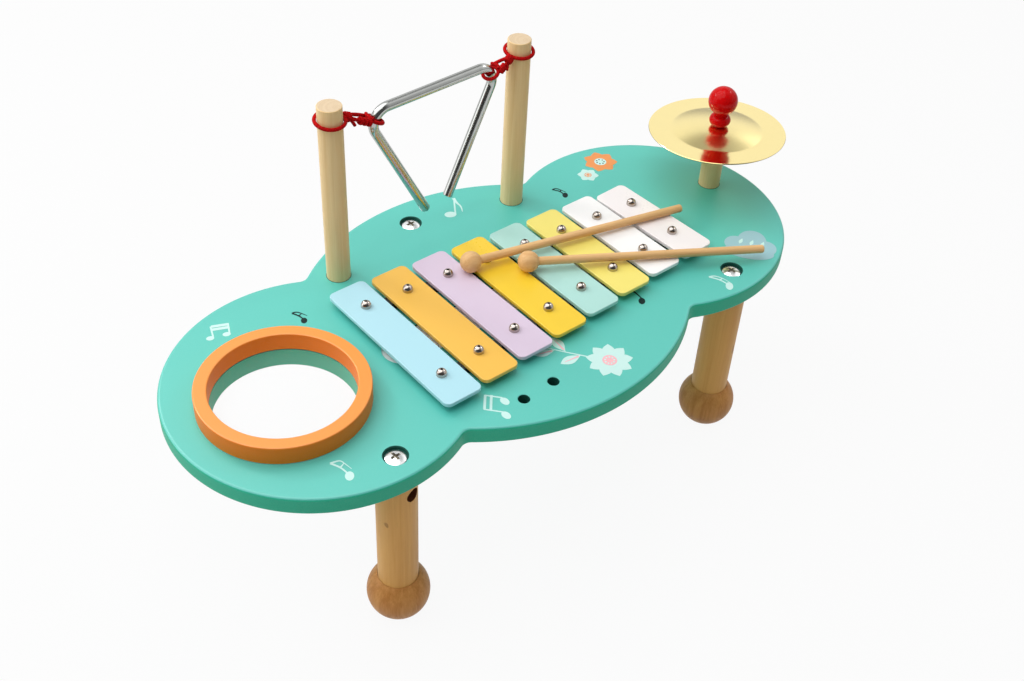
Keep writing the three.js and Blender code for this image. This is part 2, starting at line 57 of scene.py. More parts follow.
# Camera, at the photograph's viewing angle
cameraSet = {
    "position": (-510.795, -590.256, 811.391),
    "yaw": 0.7304,
    "pitch": 0.726,
    "roll": 0.0593,
    "focalPixels": 1287.48,
    "imageWidth": 1024,
    "sensor": 36,
}


def makeCamera(s):
    yaw, pitch, roll = s["yaw"], s["pitch"], s["roll"]
    forward = Vector((cos(pitch) * sin(yaw), cos(pitch) * cos(yaw), -sin(pitch)))
    level = Vector((cos(yaw), -sin(yaw), 0))
    rise = level.cross(forward)
    right = cos(roll) * level + sin(roll) * rise
    up = -sin(roll) * level + cos(roll) * rise
    data = bpy.data.cameras.new("camera")
    data.sensor_width = s["sensor"]
    data.lens = s["focalPixels"] * s["sensor"] / s["imageWidth"]
    data.clip_end = 30
    camera = bpy.data.objects.new("camera", data)
    turned = Matrix((right, up, -forward)).transposed().to_4x4()
    camera.matrix_world = Matrix.Translation(place(*s["position"])) @ turned
    scene.collection.objects.link(camera)
    scene.camera = camera


makeCamera(cameraSet)
print("camera set")


# Modelling helpers

def clear():
    if bpy.context.object and bpy.context.object.mode != "OBJECT":
        bpy.ops.object.mode_set(mode="OBJECT")
    bpy.ops.object.select_all(action="DESELECT")


def only(*pieces):
    clear()
    for piece in pieces:
        piece.select_set(True)
    bpy.context.view_layer.objects.active = pieces[0]


def selectAll():
    bpy.ops.mesh.select_all(action="SELECT")


def edit(piece, mode="VERT"):
    only(piece)
    bpy.ops.object.mode_set(mode="EDIT")
    bpy.ops.mesh.select_mode(type=mode)
    selectAll()


def done():
    bpy.ops.object.mode_set(mode="OBJECT")


def baked(piece):
    only(piece)
    bpy.ops.object.transform_apply(location=True, rotation=True, scale=True)
    return piece


def moved(piece, spot, swing):
    piece.matrix_world = Matrix.Translation(spot) @ swing
    return baked(piece)


# The turn that leans +Z to a direction.
def leaning(way):
    return Vector((0, 0, 1)).rotation_difference(way).to_matrix().to_4x4()


def extrude(step):
    bpy.ops.mesh.extrude_region_move(TRANSFORM_OT_translate={"value": step})


def flat(x, y):
    return Vector((x, y, 0)) * 0.001


def upright(x, z):
    return Vector((x, 0, z)) * 0.001


# Draws a chain of lines and arcs, in mm. A move of two numbers is a line to that point,
# one of four is an arc: centre, turn in degrees anticlockwise, steps.
def draw(name, start, moves, at=upright):
    clear()
    here = at(*start)
    bpy.ops.mesh.primitive_circle_add(vertices=3, radius=0.001, location=here)
    piece = baked(bpy.context.object)
    piece.name = name
    edit(piece)
    bpy.ops.mesh.merge(type="CENTER")
    axis, sign = ((0, 1, 0), 1) if at is upright else ((0, 0, 1), -1)
    for move in moves:
        if len(move) == 2:
            there = at(*move)
            extrude(there - here)
            here = there
        else:
            centre, angle, steps = at(*move[:2]), radians(move[2]), move[3]
            bpy.ops.mesh.spin(steps=steps, angle=sign * angle, center=centre, axis=axis)
            here = centre + Matrix.Rotation(-sign * angle, 3, Vector(axis)) @ (here - centre)
    return piece


weldGap = 2e-6


def tidyMesh(piece):
    edit(piece)
    bpy.ops.mesh.remove_doubles(threshold=weldGap)
    bpy.ops.mesh.normals_make_consistent(inside=False)
    done()
    return piece


# A turned piece: its profile is drawn in radius and height, spun round +Z and set at a place.
def turn(name, start, moves, centre=(0, 0, 0), steps=64):
    piece = draw(name, start, moves)
    selectAll()
    bpy.ops.mesh.spin(steps=steps, angle=tau, center=(0, 0, 0), axis=(0, 0, 1))
    done()
    tidyMesh(piece).location = centre
    return baked(piece)


# A flat outline drawn on the board plane, filled and raised from one height to another.
def slab(name, start, moves, low, high):
    piece = draw(name, start, moves, at=flat)
    selectAll()
    bpy.ops.mesh.remove_doubles(threshold=weldGap)
    bpy.ops.mesh.edge_face_add()
    extrude((0, 0, (high - low) * 0.001))
    done()
    tidyMesh(piece).location = place(0, 0, low)
    return baked(piece)


# Bevels the edges that are sharper than an angle and whose two ends pass a test.
def roundEdges(piece, wanted, size, segments=3, sharper=30):
    edit(piece, "EDGE")
    bpy.ops.mesh.select_all(action="DESELECT")
    mesh = bmesh.from_edit_mesh(piece.data)
    for edge in mesh.edges:
        bend = edge.calc_face_angle(0) if len(edge.link_faces) == 2 else 0
        edge.select = degrees(bend) > sharper and wanted(*(v.co for v in edge.verts))
    mesh.select_flush_mode()
    bmesh.update_edit_mesh(piece.data)
    bpy.ops.mesh.bevel(offset=size * 0.001, segments=segments, affect="EDGES", clamp_overlap=True)
    done()


def joined(*pieces):
    only(*pieces)
    bpy.ops.object.join()
    return bpy.context.object


def modify(piece, kind, **values):
    only(piece)
    bpy.ops.object.modifier_add(type=kind)
    modifier = piece.modifiers[-1]
    for key, value in values.items():
        setattr(modifier, key, value)
    bpy.ops.object.modifier_apply(modifier=modifier.name)


def cutOut(piece, *tools):
    tool = joined(*tools) if len(tools) > 1 else tools[0]
    modify(piece, "BOOLEAN", operation="DIFFERENCE", solver="EXACT", object=tool)
    bpy.data.objects.remove(tool)


# A tool that drills a plain round hole
def drill(radius, low, high, centre):
    return turn("tool", (0, low), [(radius, low), (radius, high), (0, high)], centre, 24)


def cuboid(centre, size, turned=0):
    clear()
    bpy.ops.mesh.primitive_cube_add(size=1, location=centre, scale=size, rotation=(0, 0, turned))
    return baked(bpy.context.object)


def smooth(piece, angle=35, weighted=True):
    only(piece)
    bpy.ops.object.shade_smooth_by_angle(angle=radians(angle))
    if weighted:
        modify(piece, "WEIGHTED_NORMAL", keep_sharp=True)
    return piece


def copied(piece, name, offset):
    only(piece)
    bpy.ops.object.duplicate()
    twin = bpy.context.object
    twin.name = name
    twin.location = offset
    return baked(twin)


def recolour(piece, material):
    piece.data.materials.clear()
    piece.data.materials.append(material)


def fit(piece, material, body="table", nodes=()):
    recolour(piece, material)
    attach(piece, body)
    if nodes:
        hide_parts(*nodes)
    return piece


# Gives the faces that pass a test a further material.
def repaint(piece, material, wanted):
    piece.data.materials.append(material)
    for face in piece.data.polygons:
        if wanted(face):
            face.material_index = len(piece.data.materials) - 1


# Radius of the ball that a domed cap of a given radius and rise is cut from
def ballRadius(cap, rise):
    return (cap ** 2 + rise ** 2) / (2 * rise)


def camel(name):
    first, *rest = name.split("_")
    return first + "".join(word.title() for word in rest)


# Material helpers

def tone(*rgb):
    shares = [c / 255 for c in rgb]
    return (*[c / 12.92 if c <= 0.04045 else ((c + 0.055) / 1.055) ** 2.4 for c in shares], 1)


# Links a value to a socket, or sets the socket where it is a plain number, colour or vector.
def feed(tree, socket, value):
    if isinstance(value, bpy.types.NodeSocket):
        tree.links.new(value, socket)
    elif value is not None:
        socket.default_value = value


def addNode(tree, kind, **settings):
    node = tree.nodes.new(f"ShaderNode{kind}")
    for key, value in settings.items():
        if key in node.inputs:
            feed(tree, node.inputs[key], value)
        else:
            setattr(node, key, value)
    return node


def mathNode(tree, operation, first, second, clamp=False):
    node = addNode(tree, "Math", operation=operation, use_clamp=clamp)
    feed(tree, node.inputs[0], first)
    feed(tree, node.inputs[1], second)
    return node.outputs[0]


def spread(tree, value, low, high, toLow=0, toHigh=1):
    ends = {"From Min": low, "From Max": high, "To Min": toLow, "To Max": toHigh}
    return addNode(tree, "MapRange", Value=value, **ends).outputs[0]


# The mix node keeps its inputs and output for each kind of value at places of their own.
def mixed(tree, share, first, second, kind="RGBA"):
    node = addNode(tree, "Mix", data_type=kind)
    at, out = (6, 2) if kind == "RGBA" else (2, 0)
    for socket, value in ((0, share), (at, first), (at + 1, second)):
        feed(tree, node.inputs[socket], value)
    return node.outputs[out]


def noise(tree, vector, scale, detail=2, roughness=0.5, distortion=0):
    return addNode(tree, "TexNoise", Vector=vector, Scale=scale, Detail=detail,
                   Roughness=roughness, Distortion=distortion).outputs["Fac"]


def stretched(tree, vector, scale=(1, 1, 1), turned=(0, 0, 0), centre=(0, 0, 0)):
    return addNode(tree, "Mapping", Vector=vector, Scale=scale, Rotation=turned,
                   Location=centre).outputs["Vector"]


# The length of a vector, and a noise of that length alone, which makes rings
def ringNoise(tree, vector, scale, detail):
    radius = addNode(tree, "VectorMath", operation="LENGTH", Vector=vector).outputs["Value"]
    rings = addNode(tree, "TexNoise", noise_dimensions="1D", W=radius, Scale=scale, Detail=detail)
    return radius, rings.outputs["Fac"]


# A skin is a group that turns a place on a piece into its colour, height and roughness there.
def newSkin(name, **settings):
    group = bpy.data.node_groups.new(name, "ShaderNodeTree")
    group.interface.new_socket("Vector", in_out="INPUT", socket_type="NodeSocketVector")
    for label, value in settings.items():
        kind = "NodeSocketColor" if isinstance(value, tuple) else "NodeSocketFloat"
        group.interface.new_socket(label, in_out="INPUT", socket_type=kind).default_value = value
    for label, kind in (("Colour", "Color"), ("Height", "Float"), ("Roughness", "Float")):
        group.interface.new_socket(label, in_out="OUTPUT", socket_type=f"NodeSocket{kind}")
    return group, group.nodes.new("NodeGroupInput").outputs


def closeSkin(group, colour, height, rough):
    end = group.nodes.new("NodeGroupOutput")
    for socket, value in zip(end.inputs, (colour, height, rough)):
        group.links.new(value, socket)
    return group


def makeGrainSkin():
    group, given = newSkin("woodGrain", Light=tone(224, 192, 140), Dark=tone(190, 145, 88), Knots=0,
                           Contrast=1)
    vector = given["Vector"]
    rings = noise(group, stretched(group, vector, (170, 170, 7)), 1, 2, 0.5, 0.4)
    streaks = noise(group, stretched(group, vector, (900, 900, 18)), 1, 3, 0.6)
    pores = noise(group, stretched(group, vector, (2200, 2200, 120)), 1, 1)
    knots = noise(group, stretched(group, vector, (130, 130, 75), centre=(0.3, 0.9, 0.2)), 1, 0)
    body = mathNode(group, "ADD", mathNode(group, "MULTIPLY", spread(group, rings, 0.34, 0.66), 0.55),
                    mathNode(group, "MULTIPLY", spread(group, streaks, 0.3, 0.72), 0.45))
    body = mathNode(group, "MULTIPLY", body, given["Contrast"], clamp=True)
    colour = mixed(group, body, given["Light"], given["Dark"])
    dark = mixed(group, 0.45, given["Dark"], tone(96, 56, 26))
    marks = mathNode(group, "MULTIPLY", spread(group, pores, 0.66, 0.76), 0.16)
    knot = mathNode(group, "MULTIPLY", spread(group, knots, 0.8, 0.84), given["Knots"], clamp=True)
    colour = mixed(group, mathNode(group, "MAXIMUM", marks, knot), colour, dark)
    height = mathNode(group, "SUBTRACT", mathNode(group, "MULTIPLY", body, 0.4), marks)
    return closeSkin(group, colour, height, spread(group, streaks, 0.3, 0.7, 0.42, 0.56))


def makePaintSkin():
    group, given = newSkin("paintSkin", Paint=tone(130, 215, 203), Shift=0.04, Shine=0.4)
    vector, paint, shift = given["Vector"], given["Paint"], given["Shift"]
    cloud = noise(group, vector, 9, 1)
    fine = noise(group, vector, 1300, 1)
    peel = noise(group, vector, 520, 2)
    deeper = mixed(group, shift, paint, (0, 0, 0, 1))
    colour = mixed(group, spread(group, cloud, 0.3, 0.7), paint, deeper)
    speck = mathNode(group, "MULTIPLY", spread(group, fine, 0.35, 0.75), shift)
    colour = mixed(group, mathNode(group, "MULTIPLY", speck, 0.5), colour, (1, 1, 1, 1))
    rough = mathNode(group, "ADD", given["Shine"], spread(group, cloud, 0.3, 0.7, -0.02, 0.03))
    rough = mathNode(group, "ADD", rough, spread(group, peel, 0.3, 0.7, -0.01, 0.01))
    return closeSkin(group, colour, peel, rough)


def makeMetalSkin():
    group, given = newSkin("metalSkin", Metal=tone(230, 232, 235), Grime=0.1, Shine=0.1)
    cloud = noise(group, given["Vector"], 120, 4, 0.6)
    darker = mixed(group, given["Grime"], given["Metal"], tone(90, 90, 92))
    colour = mixed(group, spread(group, cloud, 0.35, 0.75), given["Metal"], darker)
    rough = mathNode(group, "ADD", given["Shine"], spread(group, cloud, 0.3, 0.7, 0, 0.06))
    return closeSkin(group, colour, noise(group, given["Vector"], 1800, 2), rough)


def newMaterial(name):
    material = bpy.data.materials.new(name)
    material.use_nodes = True
    tree = material.node_tree
    vector = addNode(tree, "TexCoord").outputs["Object"]
    return material, tree, tree.nodes["Principled BSDF"], vector


def setShader(tree, shader, **values):
    for key, value in values.items():
        feed(tree, shader.inputs[shaderLabels.get(key, key)], value)


shaderLabels = {"colour": "Base Color", "roughness": "Roughness", "specular": "Specular IOR Level",
                "coat": "Coat Weight", "coatRoughness": "Coat Roughness", "metallic": "Metallic",
                "anisotropic": "Anisotropic", "alpha": "Alpha"}


def bump(tree, shader, height, strength, reach):
    node = addNode(tree, "Bump", Strength=strength, Distance=reach, Height=height)
    tree.links.new(node.outputs["Normal"], shader.inputs["Normal"])


# Puts a skin's colour, roughness and height on a Principled shader.
def dress(tree, shader, group, vector, strength, reach, **values):
    node = addNode(tree, "Group", node_tree=group, Vector=vector, **values)
    setShader(tree, shader, colour=node.outputs["Colour"], roughness=node.outputs["Roughness"])
    bump(tree, shader, node.outputs["Height"], strength, reach)


def makeWood(name, light, dark, turned=(0, 0, 0), knots=0, contrast=1, coat=0.08):
    material, tree, shader, vector = newMaterial(name)
    dress(tree, shader, grainSkin, stretched(tree, vector, turned=turned), 0.2, 0.0002, Light=tone(*light),
          Dark=tone(*dark), Knots=knots, Contrast=contrast)
    setShader(tree, shader, specular=0.3, coat=coat, coatRoughness=0.3)
    return material


def makePaint(name, rgb, shine=0.4, shift=0.04, coat=0, relief=0.02, specular=0.5, alpha=1):
    material, tree, shader, vector = newMaterial(name)
    dress(tree, shader, paintSkin, vector, relief, 0.0003, Paint=tone(*rgb), Shift=shift, Shine=shine)
    setShader(tree, shader, specular=specular, coat=coat, coatRoughness=0.06, alpha=alpha)
    return material


def makeMetal(name, rgb, shine, grime, relief=0.02):
    material, tree, shader, vector = newMaterial(name)
    dress(tree, shader, metalSkin, vector, relief, 0.0001, Metal=tone(*rgb), Grime=grime, Shine=shine)
    setShader(tree, shader, metallic=1)
    return material


# Spun brass sheet: fine rings round the cymbal's own middle, duller on its dome
def makeSpunGold(name, centre):
    material, tree, shader, vector = newMaterial(name)
    skin = addNode(tree, "Group", node_tree=metalSkin, Vector=vector, Metal=tone(255, 236, 168),
                   Grime=0.02)
    local = stretched(tree, stretched(tree, vector, centre=-centre), (1, 1, 0.1))
    radius, rings = ringNoise(tree, local, 1400, 3)
    setShader(tree, shader, colour=skin.outputs["Colour"], metallic=1, anisotropic=0.5,
              roughness=spread(tree, radius, 0.037, 0.041, 0.19, 0.12))
    bump(tree, shader, rings, 0.12, 0.00015)
    return material


# End grain: rings round a heart a little off the post's middle
def makeEndGrain(name, heart):
    material, tree, shader, vector = newMaterial(name)
    level = stretched(tree, vector, (1, 1, 0), centre=(-heart.x, -heart.y, 0))
    rings = ringNoise(tree, level, 620, 2)[1]
    fibres = noise(tree, vector, 1900, 2)
    share = mathNode(tree, "MULTIPLY", spread(tree, rings, 0.35, 0.65), 0.45)
    share = mathNode(tree, "ADD", share, spread(tree, fibres, 0.3, 0.7, 0, 0.3), True)
    setShader(tree, shader, colour=mixed(tree, share, tone(226, 204, 172), tone(208, 182, 146)),
              roughness=spread(tree, fibres, 0.3, 0.7, 0.6, 0.75), specular=0.3)
    bump(tree, shader, fibres, 0.2, 0.0002)
    return material


def makeCordRed(name):
    material, tree, shader, vector = newMaterial(name)
    strands = noise(tree, stretched(tree, vector, (900, 900, 1500)), 1, 2)
    colour = mixed(tree, spread(tree, strands, 0.35, 0.65), tone(206, 3, 7), tone(150, 1, 4))
    setShader(tree, shader, colour=colour, roughness=0.75, specular=0.12)
    bump(tree, shader, noise(tree, vector, 2600, 3, 0.7), 0.6, 0.0004)
    return material


def makeFelt(name):
    material, tree, shader, vector = newMaterial(name)
    fibres = noise(tree, vector, 1500, 4, 0.7)
    colour = mixed(tree, spread(tree, fibres, 0.3, 0.7), tone(24, 30, 28), tone(60, 68, 64))
    setShader(tree, shader, colour=colour, roughness=0.95)
    bump(tree, shader, fibres, 0.7, 0.0005)
    return material


grainSkin = makeGrainSkin()
paintSkin = makePaintSkin()
metalSkin = makeMetalSkin()
mint = makePaint("mintPaint", (82, 197, 183), 0.42, 0.03, specular=0.95)
# Near-black mint for the walls of drilled holes, the slot's walls and the rings round the posts: painted
# shade.
paintedShadeMint = makePaint("paintedShadeMintPaint", (6, 84, 72), 0.5, 0.05, specular=0.2)
# A darker, more saturated copy of the mint paint for the board's sides and hole walls: painted shade.
paintedShadeSideMint = makePaint("paintedShadeSideMintPaint", (37, 187, 149), 0.5, 0.05, specular=0.3)
orange = makePaint("orangePaint", (250, 152, 48), 0.38, 0.03, specular=0.95)
# A deeper, more saturated orange for the drum ring's side walls: painted shade.
paintedShadeSideOrange = makePaint("paintedShadeSideOrangePaint", (255, 132, 16), 0.5, 0.05, specular=0.25)
postPine = makeWood("postPine", (252, 221, 168), (237, 199, 140))
legPine = makeWood("legPine", (238, 182, 100), (216, 148, 72), knots=0.8, contrast=0.7)
# Dark wood for the inside of each leg's nut hole: painted shade.
paintedShadeBoreWood = makeWood("paintedShadeBoreWood", (120, 62, 30), (92, 42, 18), coat=0)
footPine = makeWood("footPine", (218, 156, 86), (184, 116, 50))
chrome = makeMetal("chrome", (186, 188, 185), 0.13, 0.12, 0.003)
# Dark, dull gold for the cymbal's edge faces: painted shade.
paintedShadeEdgeGold = makeMetal("paintedShadeEdgeGold", (126, 104, 58), 0.5, 0.1)
# Dark steel for the dimple in each bar screw's head: painted shade.
paintedShadeDimpleSteel = makeMetal("paintedShadeDimpleSteel", (70, 64, 58), 0.5, 0.1)
screwSteel = makeMetal("screwSteel", (186, 176, 168), 0.07, 0.2, 0.005)
zinc = makeMetal("zincPlate", (238, 240, 240), 0.2, 0.12)
# Darker, duller zinc for the inside of each bolt's cross recess: painted shade.
paintedShadeRecessZinc = makeMetal("paintedShadeRecessZinc", (176, 170, 156), 0.5, 0.2)
redGloss = makePaint("redGloss", (206, 1, 4), 0.13, 0.01, specular=0.12)
palePaint = makePaint("paleSlotFloor", (250, 250, 247), 0.5, 0.02)
clearFilm = makePaint("clearFilm", (246, 250, 250), 0.12, 0.02, relief=0.03, alpha=0.04)
cordRed = makeCordRed("redCord")
darkFelt = makeFelt("darkFelt")
barTones = [(180, 227, 239), (247, 193, 80), (221, 203, 223), (249, 209, 52),
            (178, 225, 216), (246, 230, 118), (254, 254, 253), (253, 247, 247)]
barPaints = [makePaint(f"barPaint{i + 1}", rgb, 0.3, 0.012, 0.2, 0.01) for i, rgb in enumerate(barTones)]
print("materials made")


# Board: three lobes with small fillets between them, a slot under the bars and the drilled holes
boardSet = {
    "thickness": 15,
    "lobeX": 165,
    "lobeRadius": 115,
    "middleRadius": 179,
    "middleOffset": 37,
    "notchRadius": 8,
    "edgeRound": 2.4,
    "drum": (drumX, -2, 52.5),
    "malletHoles": [(-60.4, -104), (-31.4, -102.8)],
    "malletHole": (4.5, 12),
    "counterbore": (8.8, 2.7),
    "slot": (-98.6, 158.5, -9, 16),
    "slotDepth": 6,
    "slotFloorDrop": 1.2,
}
legSpots = [(-165.9, -93.6), (171.5, -90.3), (-1, 114)]
legNames = ["front_left", "front_right", "back"]


# The outline: three lobes with small fillets between them. The fillet's centre is found for the front
# right quarter, and its angles serve all four.
def boardMoves(s):
    lobe, middle = Vector((s["lobeX"], 0)), Vector((0, s["middleOffset"]))
    line = middle - lobe
    toFillet, fromMiddle = s["lobeRadius"] + s["notchRadius"], s["middleRadius"] + s["notchRadius"]
    along = (toFillet ** 2 - fromMiddle ** 2 + line.length_squared) / (2 * line.length)
    across = Vector((-line.y, line.x)).normalized() * sqrt(toFillet ** 2 - along ** 2)
    centre = lobe + line.normalized() * along + across
    centre.y = -abs(centre.y)
    toLobe, toMiddle = (lobe - centre).normalized(), (middle - centre).normalized()
    lobeTurn = 2 * degrees(abs(atan2(-toLobe.y, -toLobe.x)))
    middleTurn = 2 * degrees(atan2(-toMiddle.x, toMiddle.y))
    notchTurn = -degrees(toLobe.angle(toMiddle))
    x, y = centre
    moves = []
    for way in (1, -1):
        moves += [(way * lobe.x, 0, lobeTurn, 110), (way * x, -way * y, notchTurn, 12),
                  (0, -way * middle.y, middleTurn, 64), (-way * x, -way * y, notchTurn, 12)]
    return tuple(lobe - toLobe * s["lobeRadius"]), moves


# The long slot's outline, or the same a little smaller
def slotOutline(s, inset=0):
    left, right, y, radius = s["slot"]
    radius -= inset
    return (left, y - radius), [(right, y - radius), (right, y, 180, 24), (left, y + radius),
                                (left, y, 180, 24)]


def hole(radius, depth, x, y, edge=0.35, steps=48):
    moves = [(radius, -depth), (radius, -edge), (radius + edge, 0), (radius + edge, 1), (0, 1)]
    return turn("tool", (0, -depth), moves, place(x, y, boardTop), steps)


def makeBoard(s):
    low = boardTop - s["thickness"]
    start, moves = boardMoves(s)
    board = slab("tableTop", start, moves, low, boardTop)
    left, right, slotY, radius = s["slot"]
    deep = boardTop - s["slotDepth"]
    cutOut(board, slab("tool", *slotOutline(s), deep, boardTop + 1))
    slotFloor = slab("slotFloor", *slotOutline(s, 0.05), deep + 0.01, boardTop - s["slotFloorDrop"])
    fit(slotFloor, palePaint)

    def outer(first, second):
        if all(abs(v.z * 1000 - low) < 0.01 for v in (first, second)):
            return True
        ends = [(v - boardMiddle) * 1000 for v in (first, second)]
        atSlot = any(left - radius - 1 < v.x < right + radius + 1 and abs(v.y - slotY) < radius + 1
                     for v in ends)
        return all(abs(v.z - boardTop) < 0.01 for v in ends) and not atSlot
    roundEdges(board, outer, s["edgeRound"], 5, 60)
    x, y, drumRadius = s["drum"]
    tools = [hole(drumRadius, s["thickness"] + 1, x, y, 0.001, 128)]
    tools += [hole(*s["malletHole"], *spot) for spot in s["malletHoles"]]
    tools += [hole(*s["counterbore"], *spot, 0.5) for spot in legSpots]
    cutOut(board, *tools)
    fit(smooth(board, 30), mint, nodes=["table_top"])
    wells = [(*spot, s["counterbore"][0] + 0.4) for spot in legSpots]
    wells += [(*spot, s["malletHole"][0] + 0.2) for spot in s["malletHoles"]]

    # Walls of the counterbores, mallet holes and slot, which get the near-black mint as painted shade
    def inPaintedShade(face):
        spot = (face.center - boardMiddle) * 1000
        inWell = any(hypot(spot.x - x, spot.y - y) < reach for x, y, reach in wells)
        inSlot = left - radius < spot.x < right + radius and abs(spot.y - slotY) < radius + 0.2
        return low + 0.5 < spot.z < boardTop - 0.2 and (inWell or inSlot and abs(face.normal.z) < 0.5)
    # The board's sides and the walls of its holes get the darker mint as painted shade.
    repaint(board, paintedShadeSideMint, lambda face: abs(face.normal.z) < 0.6)
    repaint(board, paintedShadeMint, inPaintedShade)


makeBoard(boardSet)
print("board made")


# Drum ring, with its lip rounded
drumSet = {"centre": (drumX, -2), "inner": 52.5, "outer": 62.6, "height": 15, "round": 1,
           "rebate": (57.2, 0.8)}


def makeDrum(s):
    inner, outer, high, r = s["inner"], s["outer"], s["height"], s["round"]
    wide, deep = s["rebate"]
    moves = [
        (outer - 0.4, 0), (outer - 0.4, 0.4, 90, 4), (outer, high - r), (outer - r, high - r, 90, 8),
        (inner + r, high), (inner + r, high - r, 90, 8), (inner, deep), (wide, deep), (wide, 0),
    ]
    ring = turn("drumRing", (wide, 0), moves, place(*s["centre"], boardTop), 160)
    fit(smooth(ring), orange, nodes=["drum_ring"])
    # The ring's walls get the deeper orange as painted shade.
    repaint(ring, paintedShadeSideOrange, lambda face: abs(face.normal.z) < 0.5)


makeDrum(drumSet)
recolour(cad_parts["drum_film"], clearFilm)
print("drum made")


# Bars of the metallophone
barSet = {"corner": 5, "edge": 0.6, "hole": 2, "lastSize": (32.6, 105.5), "lastTurn": 2.1}


def makeBar(i, s):
    low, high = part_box(f"bar_{i + 1}")
    size, turned = high - low, 0
    if i == 7:
        size = Vector((*s["lastSize"], size.z * 1000)) * 0.001
        turned = radians(s["lastTurn"])
    bar = cuboid((low + high) / 2, size, turned)
    bar.name = f"bar{i + 1}"
    roundEdges(bar, lambda a, b: abs(a.z - b.z) > 0.001, s["corner"], 10)
    roundEdges(bar, lambda a, b: abs(a.z - b.z) < 1e-5, s["edge"], 4, 60)
    tools = []
    for end in ("back", "front"):
        centre = sum(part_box(f"bar_screw_{i + 1}_{end}"), Vector()) / 2
        centre.z = high.z
        tools.append(drill(s["hole"], -5, 5, centre))
    cutOut(bar, *tools)
    fit(smooth(bar), barPaints[i], nodes=[f"bar_{i + 1}"])


for i in range(8):
    makeBar(i, barSet)
print("bars made")


# Domed screws of the bars: modelled once, one copy for each hole
screwSet = {"head": 4.1, "dome": 5.3, "rim": 1.4, "dimple": 1.1, "dimpleDepth": 1, "shank": 1.7,
            "length": 18.4}


def makeBarScrews(s):
    ball = ballRadius(s["head"], s["dome"] - s["rim"])
    pole, dimple = s["dome"] - ball, s["dimple"]
    swing = degrees(asin(s["head"] / ball) - asin(dimple / ball))
    deep = pole + sqrt(ball ** 2 - dimple ** 2) - s["dimpleDepth"]
    moves = [(s["shank"], -s["length"]), (s["shank"], 0), (s["head"], 0), (s["head"], s["rim"]),
             (0, pole, swing, 14), (dimple * 0.75, deep), (0, deep)]
    screw = turn("screwPattern", (0, -s["length"]), moves, steps=48)
    smooth(screw, 35, False)
    for i in range(8):
        for end in ("back", "front"):
            node = f"bar_screw_{i + 1}_{end}"
            seat = sum(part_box(node), Vector()) / 2
            seat.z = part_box(f"bar_{i + 1}")[1].z
            twin = copied(screw, f"barScrew{i + 1}{end.title()}", seat)
            fit(twin, screwSteel, nodes=[node])

            # Faces in the dimple, which get the dark steel as painted shade
            def inShadedDimple(face):
                spot = (face.center - seat) * 1000
                return spot.z > s["rim"] and hypot(spot.x, spot.y) < dimple * 0.99
            repaint(twin, paintedShadeDimpleSteel, inShadedDimple)
    bpy.data.objects.remove(screw)


makeBarScrews(screwSet)
for name in ("felt_strip_back", "felt_strip_front"):
    recolour(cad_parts[name], darkFelt)
print("screws made")


# Mallets: a turned ball with a flat where the stick goes in, and a stick with a rounded end
malletSet = {"head": 8.6, "stick": 3.4, "flat": 7.6, "sink": 9, "reach": 197, "endRound": 1.6,
             "gap": 0.3}
# Middle of the head, end of the stick, and the edge of the bar that the stick rests on
malletLies = {
    "mallet_back": ((-7.9, 24.9), (184.6, -16.9), 174.2),
    "mallet_front": ((29, -1.5), (201.9, -94.9), 137.6),
}


def makeMallet(name, s, lie):
    (x, y), (endX, endY), edgeX = lie
    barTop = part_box("bar_1")[1].z * 1000
    gap = s["gap"]
    height = barTop + s["head"] + gap
    drop = (height - barTop - s["stick"] - gap) / ((edgeX - x) / (endX - x))
    head, end = Vector((x, y, height)), Vector((endX, endY, height - drop))
    swing = leaning((end - head).normalized())
    flatAngle = degrees(asin(s["flat"] / s["head"]))
    inner, base = s["stick"] + gap, s["flat"] - s["sink"] - gap
    ball = turn(f"{name}Head", (0, -s["head"]), [
        (0, 0, 90 + flatAngle, 28), (inner, s["flat"]), (inner, base), (0, base)], steps=56)
    r, e = s["stick"], s["endRound"]
    stick = turn(f"{name}Stick", (0, base + gap), [
        (r - gap, base + gap), (r, base + 2 * gap), (r, s["reach"] - e), (r - e, s["reach"] - e, 90, 8),
        (0, s["reach"])], steps=32)
    grain = swing.inverted().to_euler()
    wood = makeWood(f"{name}Pine", (240, 198, 140), (218, 166, 106), turned=grain)
    for piece, part in ((ball, "head"), (stick, "stick")):
        fit(smooth(moved(piece, place(*head), swing)), wood, name, [f"{name}_{part}"])


for name, lie in malletLies.items():
    makeMallet(name, malletSet, lie)
print("mallets made")


# Posts, the triangle between them and the cords
postSet = {"radius": 9.5, "round": 0.8, "dowel": 9.7, "heart": (3, -5)}
postSpots = {"left_post": (-87.5, 92, 154.5), "right_post": (88.3, 90.6, 153)}


# A thin ring of near-black mint round the foot of a post: painted shade for the gap where the post enters the
# board
def makeShadeRing(name, spot, radius):
    inner, outer, thick = radius + 0.05, radius + 0.5, 0.05
    seat = turn(name, (inner, 0), [(outer, 0), (outer, thick), (inner, thick), (inner, 0)], spot)
    fit(smooth(seat), paintedShadeMint)


def makePost(name, spot, s):
    r, e, below, (x, y, high) = s["radius"], s["round"], s["dowel"], spot
    moves = [(r - 0.6, -below), (r, 0.6 - below), (r, high - e), (r - e, high - e, 90, 5), (0, high)]
    post = turn(camel(name), (0, -below), moves, place(x, y, boardTop), 72)
    fit(smooth(post), postPine, nodes=[name])
    endGrain = makeEndGrain(f"{name}End", place(x + s["heart"][0], y + s["heart"][1], 0))
    repaint(post, endGrain, lambda face: face.normal.z > 0.95)
    makeShadeRing(camel(f"{name}_seat"), place(x, y, boardTop), r)


for name, spot in postSpots.items():
    makePost(name, spot, postSet)

